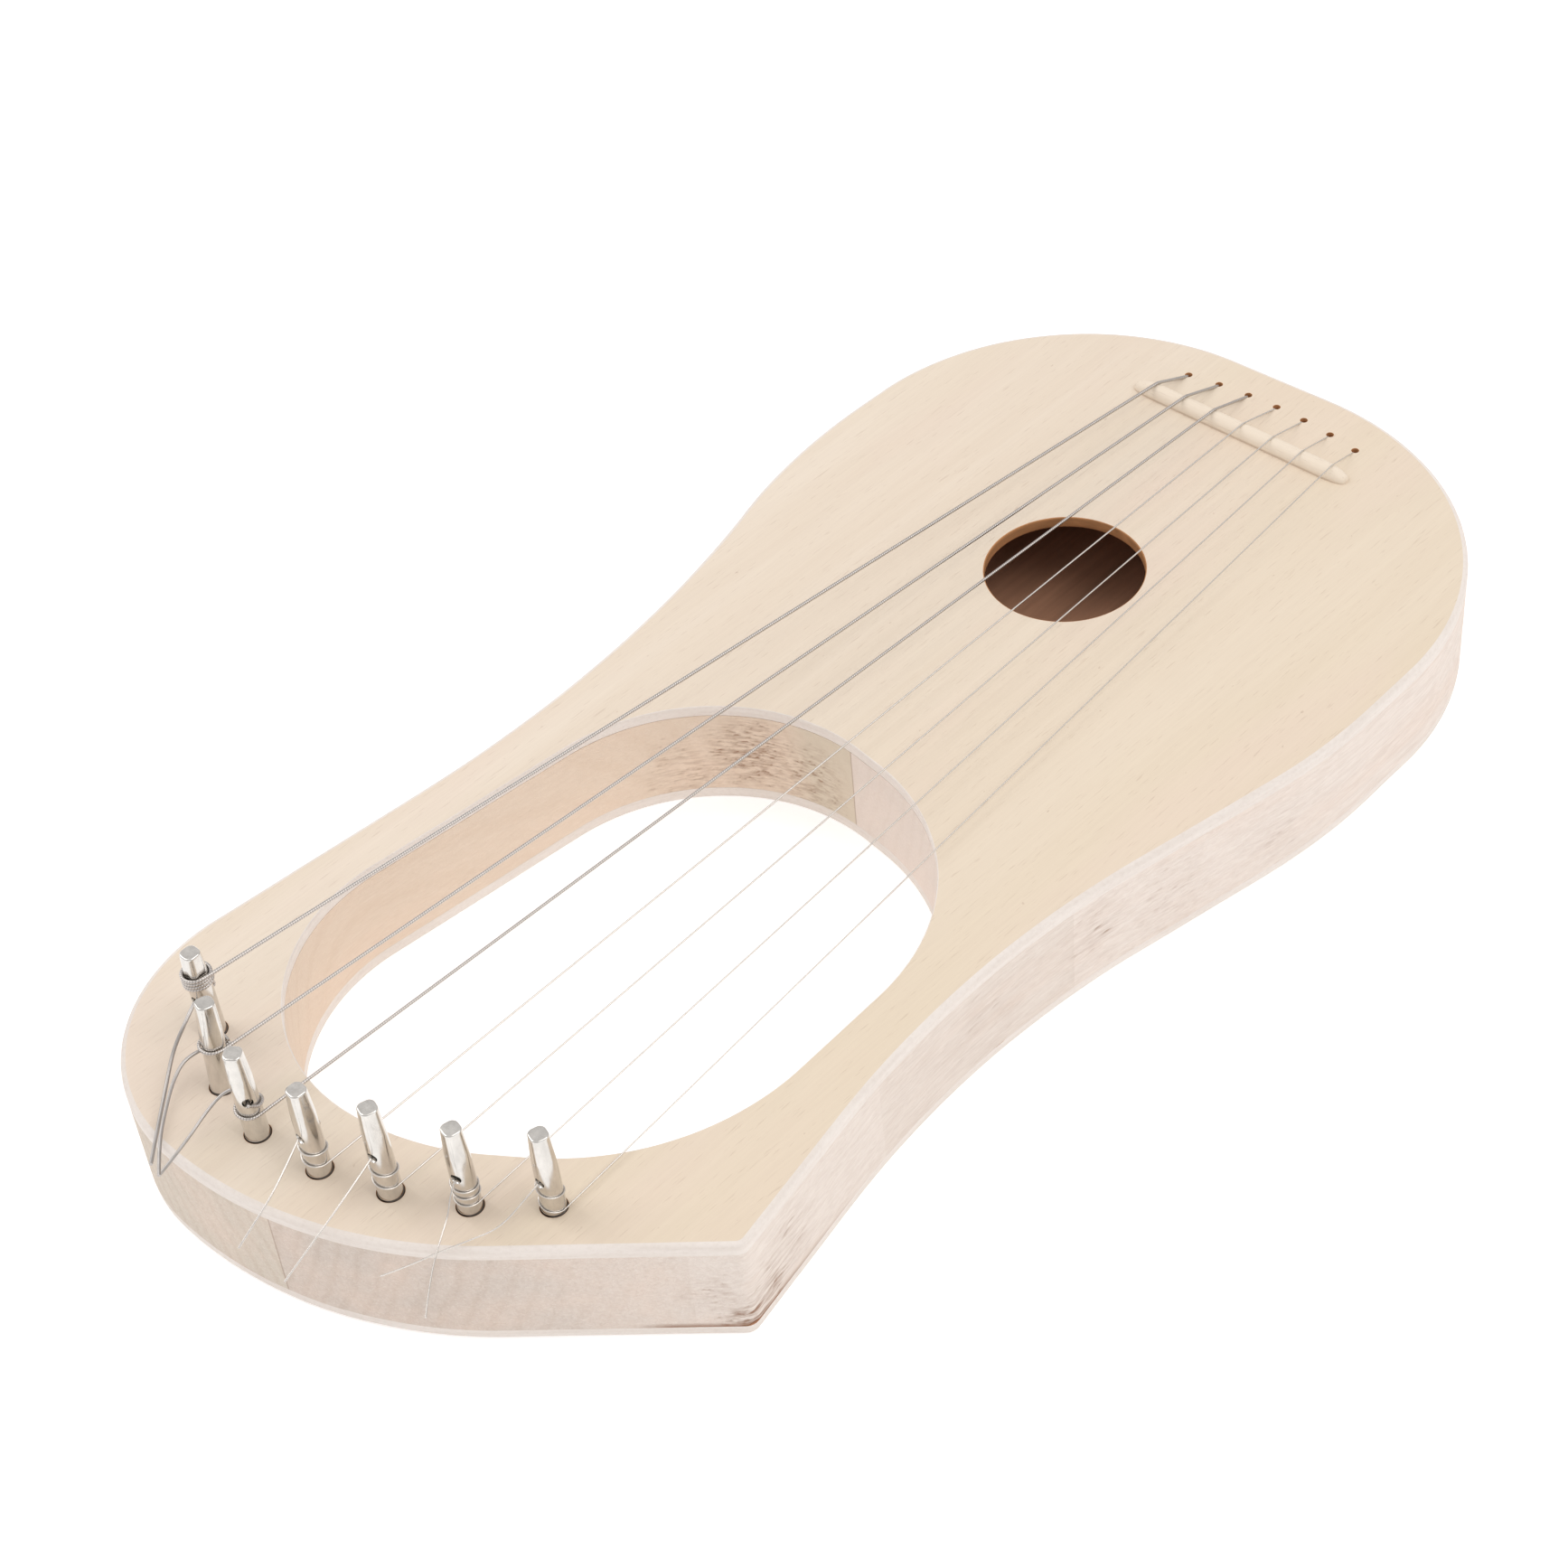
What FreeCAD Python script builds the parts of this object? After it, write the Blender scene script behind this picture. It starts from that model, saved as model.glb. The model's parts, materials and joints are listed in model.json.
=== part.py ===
import FreeCAD, Part
import math
import os
import Sketcher
from FreeCAD import Placement, Rotation, Vector

# A seven-string lyre lying on its back.  X runs across the body, Y along the strings from the
# tuning pins to the bridge, and Z up out of the soundboard.  The origin is under the middle of
# the body, on the surface that the back plate rests on.  All sizes are millimetres.

doc = FreeCAD.newDocument("lyre")
sheet = doc.addObject("Spreadsheet::Sheet", "sizes")

SIZES = {
    # body layers
    "soundboard_thickness": 2.8,
    "core_thickness": 22.0,
    "back_thickness": 2.8,
    "edge_round": 1.2,
    # core staves, glued edge to edge along these lines
    "left_glue_line": -69.3,
    "middle_glue_line": -1.0,
    "right_glue_line": 67.7,
    "shoulder_line": -60.0,
    # sound hole
    "sound_hole_radius": 18.5,
    "sound_hole_across": -1.7,
    "sound_hole_along": 78.0,
    # bridge, a half-round rod on a thin foot
    "bridge_radius": 2.3,
    "bridge_foot": 0.4,
    "bridge_length": 62.4,
    "bridge_across": -0.8,
    "bridge_along": 142.6,
    "bridge_taper": 7.0,
    "bridge_tip_radius": 0.9,
    "bridge_bulge_back": 2.66,
    "bridge_bulge_radius": 1.99,
    # string anchors in the tail of the body
    "tail_hole_radius": 0.95,
    "tail_hole_pitch": 8.25,
    "tail_holes_across": 0.15,
    "tail_arc_radius": 125.0,
    "tail_arc_top": 156.2,
    "anchor_radius": 2.4,
    "anchor_depth": 4.2,
    "ball_radius": 1.8,
    "ball_width": 2.8,
    # strings
    "string_pitch_at_bridge": 8.67,
    "bend_at_hole": 1.2,
    "bend_at_bridge": 6.0,
    "wire_gap": 0.16,
    "winding_gap": 0.02,
    # tuning pins
    "pin_length": 40.0,
    "pin_radius": 2.5,
    "thread_radius": 2.7,
    "thread_above_board": 0.4,
    "pin_hole_clearance": 0.04,
    "head_top_width": 3.8,
    "head_taper": 14.0,
    "wire_hole_radius": 1.05,
    "wire_hole_below_top": 12.4,
    "head_edge": 0.35,
}

# One row a pin, from the bass side: place across and along, height of its top above the
# soundboard, its lean towards the bridge (degrees), the headings of one corner of its head and
# of the hole that its wire leaves by (degrees from +X), the string's diameter, the height at
# which the string meets the pin, and the wound band on the pin.
PINS = [
    (-45.2, -139.9, 23.1, -1.2, 315.0, 278.0, 0.80, 17.7, 14.6, 17.2),
    (-32.1, -148.5, 23.4, 3.0, 300.0, 237.0, 0.74, 12.6, 11.45, 12.2),
    (-17.1, -152.0, 24.0, -1.2, 350.0, 150.0, 0.68, 7.6, 6.4, 7.2),
    (-0.6, -150.1, 23.8, -1.2, 310.0, 278.0, 0.42, 3.4, 3.7, 7.4),
    (14.4, -145.0, 25.2, -1.2, 297.0, 283.0, 0.38, 3.8, 4.1, 7.8),
    (28.9, -137.5, 23.2, -1.2, 302.0, 290.0, 0.34, 3.0, 3.3, 6.9),
    (41.5, -127.3, 21.7, -1.2, 297.0, 274.0, 0.30, 0.7, 1.0, 5.8),
]
PIN_COLUMNS = ("across", "along", "height", "lean", "corner", "heading", "wire", "arrival",
               "wound_from", "wound_to")

for number, row in enumerate(PINS, start=1):
    for column, value in zip(PIN_COLUMNS, row):
        SIZES["pin_%s_%s" % ("abcdefg"[number - 1], column)] = value

for line, (alias, value) in enumerate(SIZES.items(), start=1):
    sheet.set("A%d" % line, alias)
    sheet.set("B%d" % line, repr(value))
    sheet.setAlias("B%d" % line, alias)
doc.recompute()


def size(alias):
    return float(getattr(sheet, alias))


def pin_size(number, column):
    return size("pin_%s_%s" % ("abcdefg"[number - 1], column))


def pin_cell(number, column):
    return "sizes.pin_%s_%s" % ("abcdefg"[number - 1], column)


TOP = size("back_thickness") + size("core_thickness") + size("soundboard_thickness")
TOP_CELLS = "sizes.back_thickness + sizes.core_thickness + sizes.soundboard_thickness"
CORE_TOP_CELLS = "sizes.back_thickness + sizes.core_thickness"
STRINGS = range(1, len(PINS) + 1)
MIDDLE_STRING = 4

# How far a drill or a saw runs past the piece that it cuts, and how near counts as touching.
OVERRUN = 1.0
TOUCHING = 1e-3

# Outlines are polygons whose corners are rounded: (across, along, corner radius).
BODY_OUTLINE = [
    (76.0, -111.1, 3.0),
    (61.4, -31.1, 234.0),
    (81.4, 65.7, 154.0),
    (79.9, 168.4, 70.0),
    (-79.4, 164.0, 63.5),
    (-81.7, 71.1, 152.0),
    (-58.9, -8.2, 303.0),
    (-74.3, -164.0, 42.0),
    (10.1, -168.5, 98.0),
]
CUT_OUT_OUTLINE = [
    (-43.9, 9.9, 45.0),
    (52.1, -4.1, 52.5),
    (55.2, -104.3, 58.0),
    (10.0, -134.9, 62.0),
    (-61.5, -143.9, 44.5),
]
CAVITY_OUTLINE = [
    (-57.0, 22.0, 18.0),
    (57.0, 22.0, 18.0),
    (68.0, 84.0, 60.0),
    (50.0, 134.0, 28.0),
    (-50.0, 132.0, 28.0),
    (-68.0, 84.0, 60.0),
]


def rounded_edges(corners):
    """The lines and arcs of a closed polygon whose corners are rounded."""
    starts, arcs = [], []
    for index, (across, along, radius) in enumerate(corners):
        here = Vector(across, along, 0)
        before = Vector(*corners[index - 1][:2], 0)
        after = Vector(*corners[(index + 1) % len(corners)][:2], 0)
        back = (before - here).normalize()
        ahead = (after - here).normalize()
        half = back.getAngle(ahead) / 2
        reach = radius / math.tan(half)
        inward = (back + ahead).normalize()
        middle = here + inward * (radius / math.sin(half) - radius)
        start, end = here + back * reach, here + ahead * reach
        starts.append(start)
        arcs.append((start, middle, end))
    edges = []
    for index, (start, middle, end) in enumerate(arcs):
        edges.append(Part.Arc(start, middle, end))
        edges.append(Part.LineSegment(end, starts[(index + 1) % len(starts)]))
    return edges


def sketch_in(body, name):
    sketch = body.newObject("Sketcher::SketchObject", name)
    plane = [p for p in body.Origin.OriginFeatures if p.Role == "XY_Plane"][0]
    sketch.AttachmentSupport = (plane, [""])
    sketch.MapMode = "FlatFace"
    return sketch


def add_outline(sketch, corners):
    for edge in rounded_edges(corners):
        sketch.addGeometry(edge, False)


def add_circle(sketch, across, along, radius, radius_cell):
    """A circle whose radius follows a cell of the sheet."""
    index = sketch.addGeometry(
        Part.Circle(Vector(across, along, 0), Vector(0, 0, 1), radius), False)
    constraint = sketch.addConstraint(Sketcher.Constraint("Radius", index, radius))
    sketch.setExpression("Constraints[%d]" % constraint, radius_cell)


def labelled(obj, label):
    obj.Label = label
    return obj


def pin_rotation(number):
    """How a pin's own axes stand in the body: nearly upright, tipped a little along it."""
    return Rotation(Vector(1, 0, 0), -pin_size(number, "lean"))


def pin_placement(number, above_board=0.0):
    foot = Vector(pin_size(number, "across"), pin_size(number, "along"), TOP)
    turn = pin_rotation(number)
    return Placement(foot + turn.multVec(Vector(0, 0, above_board)), turn)


def tail_hole(number):
    """Where a string goes down through the soundboard, on a flat arc behind the bridge."""
    across = (number - MIDDLE_STRING) * size("tail_hole_pitch") + size("tail_holes_across")
    arc = size("tail_arc_radius")
    return Vector(across, size("tail_arc_top") - arc + math.sqrt(arc ** 2 - across ** 2), 0)


def cylinder(name, radius_cell, height_cell):
    obj = doc.addObject("Part::Cylinder", name)
    obj.setExpression("Radius", radius_cell)
    obj.setExpression("Height", height_cell)
    return obj


def combine(kind, name, base, tool):
    obj = doc.addObject(kind, name)
    obj.Base = base
    obj.Tool = tool
    return obj


# ---- tools that drill the body -----------------------------------------------------------

PIN_HOLE_SPARE_DEPTH = 1.0
pin_drills, tail_drills, anchor_drills = [], [], []
for n in STRINGS:
    drill = cylinder("pin_drill_%d" % n, "sizes.thread_radius + sizes.pin_hole_clearance",
                     "sizes.pin_length + %r" % PIN_HOLE_SPARE_DEPTH)
    depth = size("pin_length") + PIN_HOLE_SPARE_DEPTH - pin_size(n, "height")
    drill.Placement = pin_placement(n, -depth)
    pin_drills.append(drill)
    below_hole = Placement(tail_hole(n) - Vector(0, 0, OVERRUN), Rotation())
    bore = cylinder("tail_drill_%d" % n, "sizes.tail_hole_radius",
                    TOP_CELLS + " + %r" % (2 * OVERRUN))
    bore.Placement = below_hole
    tail_drills.append(bore)
    counterbore = cylinder("anchor_drill_%d" % n, "sizes.anchor_radius",
                           "sizes.anchor_depth + %r" % OVERRUN)
    counterbore.Placement = below_hole
    anchor_drills.append(counterbore)
drills = doc.addObject("Part::MultiFuse", "drills")
drills.Shapes = pin_drills + tail_drills + anchor_drills


def plate(name, thickness_cell, lift_cells, outlines, circles):
    """A flat plate of the body's outline, padded from one sketch."""
    body = doc.addObject("PartDesign::Body", name + "_blank")
    sketch = sketch_in(body, name + "_sketch")
    for corners in outlines:
        add_outline(sketch, corners)
    for across, along, radius, cell in circles:
        add_circle(sketch, across, along, radius, cell)
    pad = body.newObject("PartDesign::Pad", name + "_pad")
    pad.Profile = sketch
    pad.setExpression("Length", thickness_cell)
    if lift_cells:
        body.setExpression("Placement.Base.z", lift_cells)
    doc.recompute()
    return body, pad


def round_rim(body, pad, name, height):
    """Rounds the outer edge of a plate's outer face."""
    rim = []
    for index, edge in enumerate(pad.Shape.Edges, start=1):
        box = edge.BoundBox
        flat = abs(box.ZMin - height) < TOUCHING and abs(box.ZMax - height) < TOUCHING
        if flat and outside_cut_out(edge):
            rim.append("Edge%d" % index)
    fillet = body.newObject("PartDesign::Fillet", name + "_fillet")
    fillet.Base = (pad, rim)
    fillet.setExpression("Radius", "sizes.edge_round")
    body.Tip = fillet
    doc.recompute()


def outside_cut_out(edge):
    """Whether an edge belongs to the body's outline rather than to an opening."""
    outline = Part.Wire([piece.toShape() for piece in rounded_edges(BODY_OUTLINE)])
    middle = edge.valueAt((edge.FirstParameter + edge.LastParameter) / 2)
    return outline.distToShape(Part.Vertex(middle.x, middle.y, 0))[0] < TOUCHING


# ---- soundboard, back plate and core -----------------------------------------------------

hole_circle = (size("sound_hole_across"), size("sound_hole_along"),
               size("sound_hole_radius"), "sizes.sound_hole_radius")
board_body, board_pad = plate("soundboard", "sizes.soundboard_thickness", CORE_TOP_CELLS,
                              [BODY_OUTLINE, CUT_OUT_OUTLINE], [hole_circle])
round_rim(board_body, board_pad, "soundboard", size("soundboard_thickness"))
back_body, back_pad = plate("back_plate", "sizes.back_thickness", None,
                            [BODY_OUTLINE, CUT_OUT_OUTLINE], [])
round_rim(back_body, back_pad, "back_plate", 0.0)
core_body, core_pad = plate("core", "sizes.core_thickness", "sizes.back_thickness",
                            [BODY_OUTLINE, CUT_OUT_OUTLINE, CAVITY_OUTLINE], [])

nodes = []
nodes.append(labelled(combine("Part::Cut", "soundboard_drilled", board_body, drills), "soundboard"))
nodes.append(labelled(combine("Part::Cut", "back_plate_drilled", back_body, drills), "back_plate"))
core = combine("Part::Cut", "core_drilled", core_body, drills)

# The core is sawn from staves that run the whole length, so slabs cut it at the glue lines.
SLAB_HALF_LENGTH = 200.0
SLAB_OUTER = 120.0


def stave(label, left_cell, right_cell, near_cell, far_cell):
    slab = doc.addObject("Part::Box", label + "_slab")
    slab.setExpression("Placement.Base.x", left_cell)
    slab.setExpression("Placement.Base.y", near_cell)
    slab.setExpression("Length", "(%s) - (%s)" % (right_cell, left_cell))
    slab.setExpression("Width", "(%s) - (%s)" % (far_cell, near_cell))
    slab.setExpression("Height", TOP_CELLS)
    common = combine("Part::Common", label + "_sawn", core, slab)
    return labelled(common, label)


near, far = "-%r" % SLAB_HALF_LENGTH, "%r" % SLAB_HALF_LENGTH
left, right = "-%r" % SLAB_OUTER, "%r" % SLAB_OUTER
nodes.append(stave("core_flank_left", left, "sizes.left_glue_line", "sizes.shoulder_line", far))
nodes.append(stave("core_flank_right", "sizes.right_glue_line", right, "sizes.shoulder_line", far))
nodes.append(stave("core_corner_right", "sizes.right_glue_line", right, near,
                   "sizes.shoulder_line"))
nodes.append(stave("core_stave_right", "sizes.middle_glue_line", "sizes.right_glue_line",
                   near, far))
whole_left = stave("core_left_half", left, "sizes.middle_glue_line", near, far)
left_stave = combine("Part::Cut", "core_stave_left_sawn", whole_left,
                     doc.getObject("core_flank_left_slab"))
nodes.append(labelled(left_stave, "core_stave_left"))

# ---- bridge ------------------------------------------------------------------------------

# The dome and its foot share this much height, so that they fuse into one solid.
JOINT_OVERLAP = 0.001

bridge_body = doc.addObject("PartDesign::Body", "bridge_round")
profile = sketch_in(bridge_body, "bridge_profile")
half_length, radius = size("bridge_length") / 2, size("bridge_radius")
tip, taper = size("bridge_tip_radius"), size("bridge_taper")
shoulder = half_length - taper
bulge = Vector(half_length - size("bridge_bulge_back"), size("bridge_bulge_radius"), 0)
left_bulge = Vector(-bulge.x, bulge.y, 0)
profile.addGeometry(Part.LineSegment(Vector(-half_length, 0, 0), Vector(half_length, 0, 0)))
profile.addGeometry(Part.LineSegment(Vector(half_length, 0, 0), Vector(half_length, tip, 0)))
profile.addGeometry(Part.Arc(Vector(half_length, tip, 0), bulge, Vector(shoulder, radius, 0)))
profile.addGeometry(Part.LineSegment(Vector(shoulder, radius, 0), Vector(-shoulder, radius, 0)))
profile.addGeometry(Part.Arc(Vector(-shoulder, radius, 0), left_bulge,
                             Vector(-half_length, tip, 0)))
profile.addGeometry(Part.LineSegment(Vector(-half_length, tip, 0), Vector(-half_length, 0, 0)))
turned = bridge_body.newObject("PartDesign::Revolution", "bridge_turned")
turned.Profile = profile
turned.ReferenceAxis = (profile, ["H_Axis"])
turned.Angle = 360.0
doc.recompute()
foot = doc.addObject("Part::Box", "bridge_foot_block")
foot.setExpression("Length", "sizes.bridge_length - 2 * sizes.bridge_taper")
foot.setExpression("Width", "2 * sizes.bridge_radius")
foot.setExpression("Height", "sizes.bridge_foot + %r" % JOINT_OVERLAP)
foot.setExpression("Placement.Base.x", "sizes.bridge_taper - sizes.bridge_length / 2")
foot.setExpression("Placement.Base.y", "-sizes.bridge_radius")
foot.setExpression("Placement.Base.z", "-sizes.bridge_foot")
keep = doc.addObject("Part::Box", "bridge_upper_half")
keep.setExpression("Length", "sizes.bridge_length + %r" % (2 * OVERRUN))
keep.setExpression("Width", "4 * sizes.bridge_radius")
keep.setExpression("Height", "2 * sizes.bridge_radius")
keep.setExpression("Placement.Base.x", "-sizes.bridge_length / 2 - %r" % OVERRUN)
keep.setExpression("Placement.Base.y", "-2 * sizes.bridge_radius")
dome = combine("Part::Common", "bridge_dome", bridge_body, keep)
bridge = combine("Part::Fuse", "bridge_joined", dome, foot)
bridge.setExpression("Placement.Base.x", "sizes.bridge_across")
bridge.setExpression("Placement.Base.y", "sizes.bridge_along")
bridge.setExpression("Placement.Base.z", TOP_CELLS + " + sizes.bridge_foot")
nodes.append(labelled(bridge, "bridge"))

# ---- tuning pins -------------------------------------------------------------------------

CORNER_TO_FLAT = 45.0


def tuning_pin(number):
    """A round shaft with a tapered square head, a fine thread below and a hole for the wire.

    Built standing on its point at the origin, then placed in its hole."""
    name = "pin_%d" % number
    embedded = "(sizes.pin_length - %s)" % pin_cell(number, "height")
    shaft = cylinder(name + "_shaft", "sizes.pin_radius", "sizes.pin_length")
    thread = cylinder(name + "_thread", "sizes.thread_radius",
                      embedded + " + sizes.thread_above_board")
    taper_block = doc.addObject("Part::Wedge", name + "_taper")
    length, top_width = size("pin_length"), size("head_top_width")
    spread = (2 * size("pin_radius") - top_width) / size("head_taper") * length
    low = (top_width + spread) / 2
    high = top_width / 2
    taper_block.Xmin, taper_block.Xmax = -low, low
    taper_block.Zmin, taper_block.Zmax = -low, low
    taper_block.X2min, taper_block.X2max = -high, high
    taper_block.Z2min, taper_block.Z2max = -high, high
    taper_block.Ymin, taper_block.Ymax = 0.0, length
    quarter = Rotation(Vector(1, 0, 0), 90)
    turn = Rotation(Vector(0, 0, 1), pin_size(number, "heading"))
    flats = Rotation(Vector(0, 0, 1), pin_size(number, "corner") - CORNER_TO_FLAT)
    taper_block.Placement = Placement(Vector(0, 0, 0), flats.multiply(quarter))
    shaft.Placement = Placement(Vector(0, 0, 0), flats)
    thread.Placement = Placement(Vector(0, 0, 0), flats)
    square = combine("Part::Common", name + "_square", shaft, taper_block)
    doc.recompute()
    top_edges = []
    for index, edge in enumerate(square.Shape.Edges, start=1):
        if edge.BoundBox.ZMin > length - TOUCHING:
            top_edges.append((index, size("head_edge"), size("head_edge")))
    head = doc.addObject("Part::Chamfer", name + "_head")
    head.Base = square
    head.Edges = top_edges
    drill = cylinder(name + "_wire_drill", "sizes.wire_hole_radius", "4 * sizes.pin_radius")
    across = turn.multiply(Rotation(Vector(0, 1, 0), 90))
    hole_height = length - size("wire_hole_below_top")
    start = turn.multVec(Vector(-2 * size("pin_radius"), 0, 0))
    drill.Placement = Placement(start + Vector(0, 0, hole_height), across)
    drilled = combine("Part::Cut", name + "_drilled", head, drill)
    whole = combine("Part::Fuse", name + "_whole", drilled, thread)
    whole.Placement = pin_placement(number, pin_size(number, "height") - length)
    return labelled(whole, "tuning_pin_%d" % number)


def winding(number):
    """The band of wire wound on a pin, as a sleeve round its shaft."""
    name = "winding_%d" % number
    band = "%s - %s" % (pin_cell(number, "wound_to"), pin_cell(number, "wound_from"))
    outer = cylinder(name + "_outer", "sizes.pin_radius + " + pin_cell(number, "wire"), band)
    inner = cylinder(name + "_inner", "sizes.pin_radius + sizes.winding_gap", band)
    sleeve = combine("Part::Cut", name + "_sleeve", outer, inner)
    sleeve.Placement = pin_placement(number, pin_size(number, "wound_from"))
    return labelled(sleeve, "string_%d_winding" % number)


# ---- wires -------------------------------------------------------------------------------

SHARE_OF_RUN = 0.45


def wire_path(points, radii=None):
    """Straight runs joined by tangent arcs, and the radius of each arc."""
    edges, used = [], []
    start = points[0]
    for index in range(1, len(points) - 1):
        before, here, after = points[index - 1:index + 2]
        back, ahead = before - here, after - here
        half = (math.pi - back.getAngle(ahead)) / 2
        shorter = min(back.Length, ahead.Length)
        radius = SHARE_OF_RUN * shorter / math.tan(half)
        if radii:
            radius = min(radius, radii[index - 1])
        reach = radius * math.tan(half)
        back.normalize()
        ahead.normalize()
        bend_start, bend_end = here + back * reach, here + ahead * reach
        inward = (back + ahead).normalize()
        middle = here + inward * (radius / math.cos(half) - radius)
        edges.append(Part.LineSegment(start, bend_start).toShape())
        edges.append(Part.Arc(bend_start, middle, bend_end).toShape())
        used.append(radius)
        start = bend_end
    edges.append(Part.LineSegment(start, points[-1]).toShape())
    return Part.Wire(edges), used


def round_wire(label, points, diameter, diameter_cell, radii=None):
    """A round wire swept along its path; returns it with its length."""
    path, used = wire_path(points, radii)
    spine = doc.addObject("Part::Feature", label + "_path")
    spine.Shape = path
    section = doc.addObject("Part::Circle", label + "_section")
    section.setExpression("Radius", diameter_cell + " / 2")
    section.Placement = Placement(points[0], Rotation(Vector(0, 0, 1), points[1] - points[0]))
    tube = doc.addObject("Part::Sweep", label + "_tube")
    tube.Sections = [section]
    tube.Spine = (spine, ["Edge%d" % (i + 1) for i in range(len(path.Edges))])
    tube.Solid = True
    tube.Frenet = True
    doc.recompute()
    expected = math.pi * (diameter / 2) ** 2 * path.Length
    print("%-16s length %6.1f  volume/expected %.4f  radii %s" % (
        label, path.Length, tube.Shape.Volume / expected, [round(r, 1) for r in used]))
    return labelled(tube, label)


def sounding_string(number):
    """From its ball end up through the tail, over the bridge and along to its tuning pin."""
    diameter = pin_size(number, "wire")
    hole = tail_hole(number)
    anchored = Vector(hole.x, hole.y, size("anchor_depth"))
    mouth = Vector(hole.x, hole.y, TOP + diameter / 2 + size("wire_gap"))
    crest = TOP + size("bridge_foot") + size("bridge_radius") + diameter / 2 + size("wire_gap")
    over = Vector((number - MIDDLE_STRING) * size("string_pitch_at_bridge"),
                  size("bridge_along"), crest)
    placed = pin_placement(number, pin_size(number, "arrival")).Base
    along = Vector(placed.x - over.x, placed.y - over.y, 0).normalize()
    offset = size("pin_radius") + diameter / 2 + size("wire_gap")
    tangent = placed + Vector(-along.y, along.x, 0) * offset
    bends = [size("bend_at_hole"), size("bend_at_bridge")]
    return round_wire("string_%d" % number, [anchored, mouth, over, tangent], diameter,
                      pin_cell(number, "wire"), radii=bends)


def ball_end(number):
    """The small brass cylinder that the string's end is looped round, lying in its recess."""
    name = "ball_end_%d" % number
    ball = cylinder(name + "_body", "sizes.ball_radius", "sizes.ball_width")
    centre = tail_hole(number) + Vector(-size("ball_width") / 2, 0,
                                        size("anchor_depth") - size("ball_radius"))
    ball.Placement = Placement(centre, Rotation(Vector(0, 1, 0), 90))
    return labelled(ball, name)


# The free wire end that stands out of each pin's hole: points across, along and above the
# soundboard, from the mouth of the hole to the cut end.
TAGS = {
    1: [(-44.8, -142.7, 10.7), (-43.0, -146.8, 9.7), (-42.4, -151.6, 5.6), (-38.7, -157.2, 2.4),
        (-32.9, -164.0, 1.6), (-26.2, -171.3, 1.4)],
    2: [(-33.5, -150.1, 11.0), (-34.6, -153.2, 10.9), (-32.5, -158.2, 10.1), (-28.5, -163.4, 9.6),
        (-22.9, -169.9, 9.0), (-16.9, -174.8, 8.5)],
    3: [(-19.3, -151.0, 11.6), (-22.2, -152.9, 10.2), (-22.7, -157.5, 8.6), (-21.1, -165.7, 6.2),
        (-21.2, -172.5, 3.4)],
    4: [(-0.5, -153.0, 11.4), (1.0, -156.8, 10.3), (3.1, -163.3, 7.9), (3.8, -168.8, 5.4),
        (4.2, -174.0, 2.7)],
    5: [(15.0, -147.8, 12.8), (16.1, -153.0, 11.6), (17.0, -160.6, 9.0), (17.4, -167.4, 6.3),
        (17.6, -173.8, 3.4)],
    6: [(29.8, -140.2, 10.8), (30.5, -142.4, 9.0), (31.5, -144.5, 5.7), (33.6, -148.9, 4.1),
        (38.3, -155.8, 3.5), (44.1, -162.2, 3.2)],
    7: [(41.7, -130.1, 9.3), (41.5, -133.6, 8.0), (39.9, -139.3, 3.7), (36.0, -144.2, 1.6),
        (33.3, -150.2, 1.4), (31.4, -155.5, 1.3), (29.2, -160.6, 1.5)],
}


def tag(number):
    points = [Vector(across, along, TOP + above) for across, along, above in TAGS[number]]
    return round_wire("string_%d_tag" % number, points, pin_size(number, "wire"),
                      pin_cell(number, "wire"))


for maker in (tuning_pin, winding, sounding_string, ball_end, tag):
    for n in STRINGS:
        nodes.append(maker(n))

# ---- checks and files --------------------------------------------------------------------

doc.recompute()
for obj in doc.Objects:
    if "Invalid" in obj.State or "Error" in obj.State:
        raise RuntimeError("%s failed: %s" % (obj.Label, obj.State))
for node in nodes:
    if node.Shape.isNull() or not node.Shape.isValid() or not node.Shape.Solids:
        raise RuntimeError("%s has no valid solid" % node.Label)
os.makedirs("parts", exist_ok=True)
for node in nodes:
    node.Shape.exportStep("parts/%s.step" % node.Label)
print("wrote %d nodes, soundboard top at %.1f" % (len(nodes), TOP))
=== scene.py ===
import json
import math

import bmesh
import bpy
import numpy as np
from mathutils import Matrix, Vector, noise
from mathutils.geometry import tessellate_polygon


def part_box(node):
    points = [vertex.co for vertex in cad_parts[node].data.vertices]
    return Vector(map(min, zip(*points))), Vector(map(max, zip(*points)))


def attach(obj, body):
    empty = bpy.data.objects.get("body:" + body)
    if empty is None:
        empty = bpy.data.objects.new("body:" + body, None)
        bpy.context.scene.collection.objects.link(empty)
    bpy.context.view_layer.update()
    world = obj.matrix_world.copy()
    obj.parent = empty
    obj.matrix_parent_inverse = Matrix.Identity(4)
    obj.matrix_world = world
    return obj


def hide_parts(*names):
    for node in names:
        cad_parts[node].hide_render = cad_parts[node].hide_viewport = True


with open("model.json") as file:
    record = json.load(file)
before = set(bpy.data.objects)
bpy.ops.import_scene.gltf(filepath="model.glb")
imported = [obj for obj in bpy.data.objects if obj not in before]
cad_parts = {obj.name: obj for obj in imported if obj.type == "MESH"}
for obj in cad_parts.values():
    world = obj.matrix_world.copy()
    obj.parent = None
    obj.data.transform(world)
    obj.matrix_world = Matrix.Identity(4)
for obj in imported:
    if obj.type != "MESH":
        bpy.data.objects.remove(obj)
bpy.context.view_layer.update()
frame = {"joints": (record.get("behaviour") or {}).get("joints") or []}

# A seven-string lyre of bare pale wood lying on its back: X across, Y along the strings from the
# pins to the bridge, Z up.  Shapes are worked out in millimetres and scaled when a mesh is made.
MM = 0.001
STRINGS = range(1, 8)


def mm(vector):
    return Vector(vector) / MM


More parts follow.
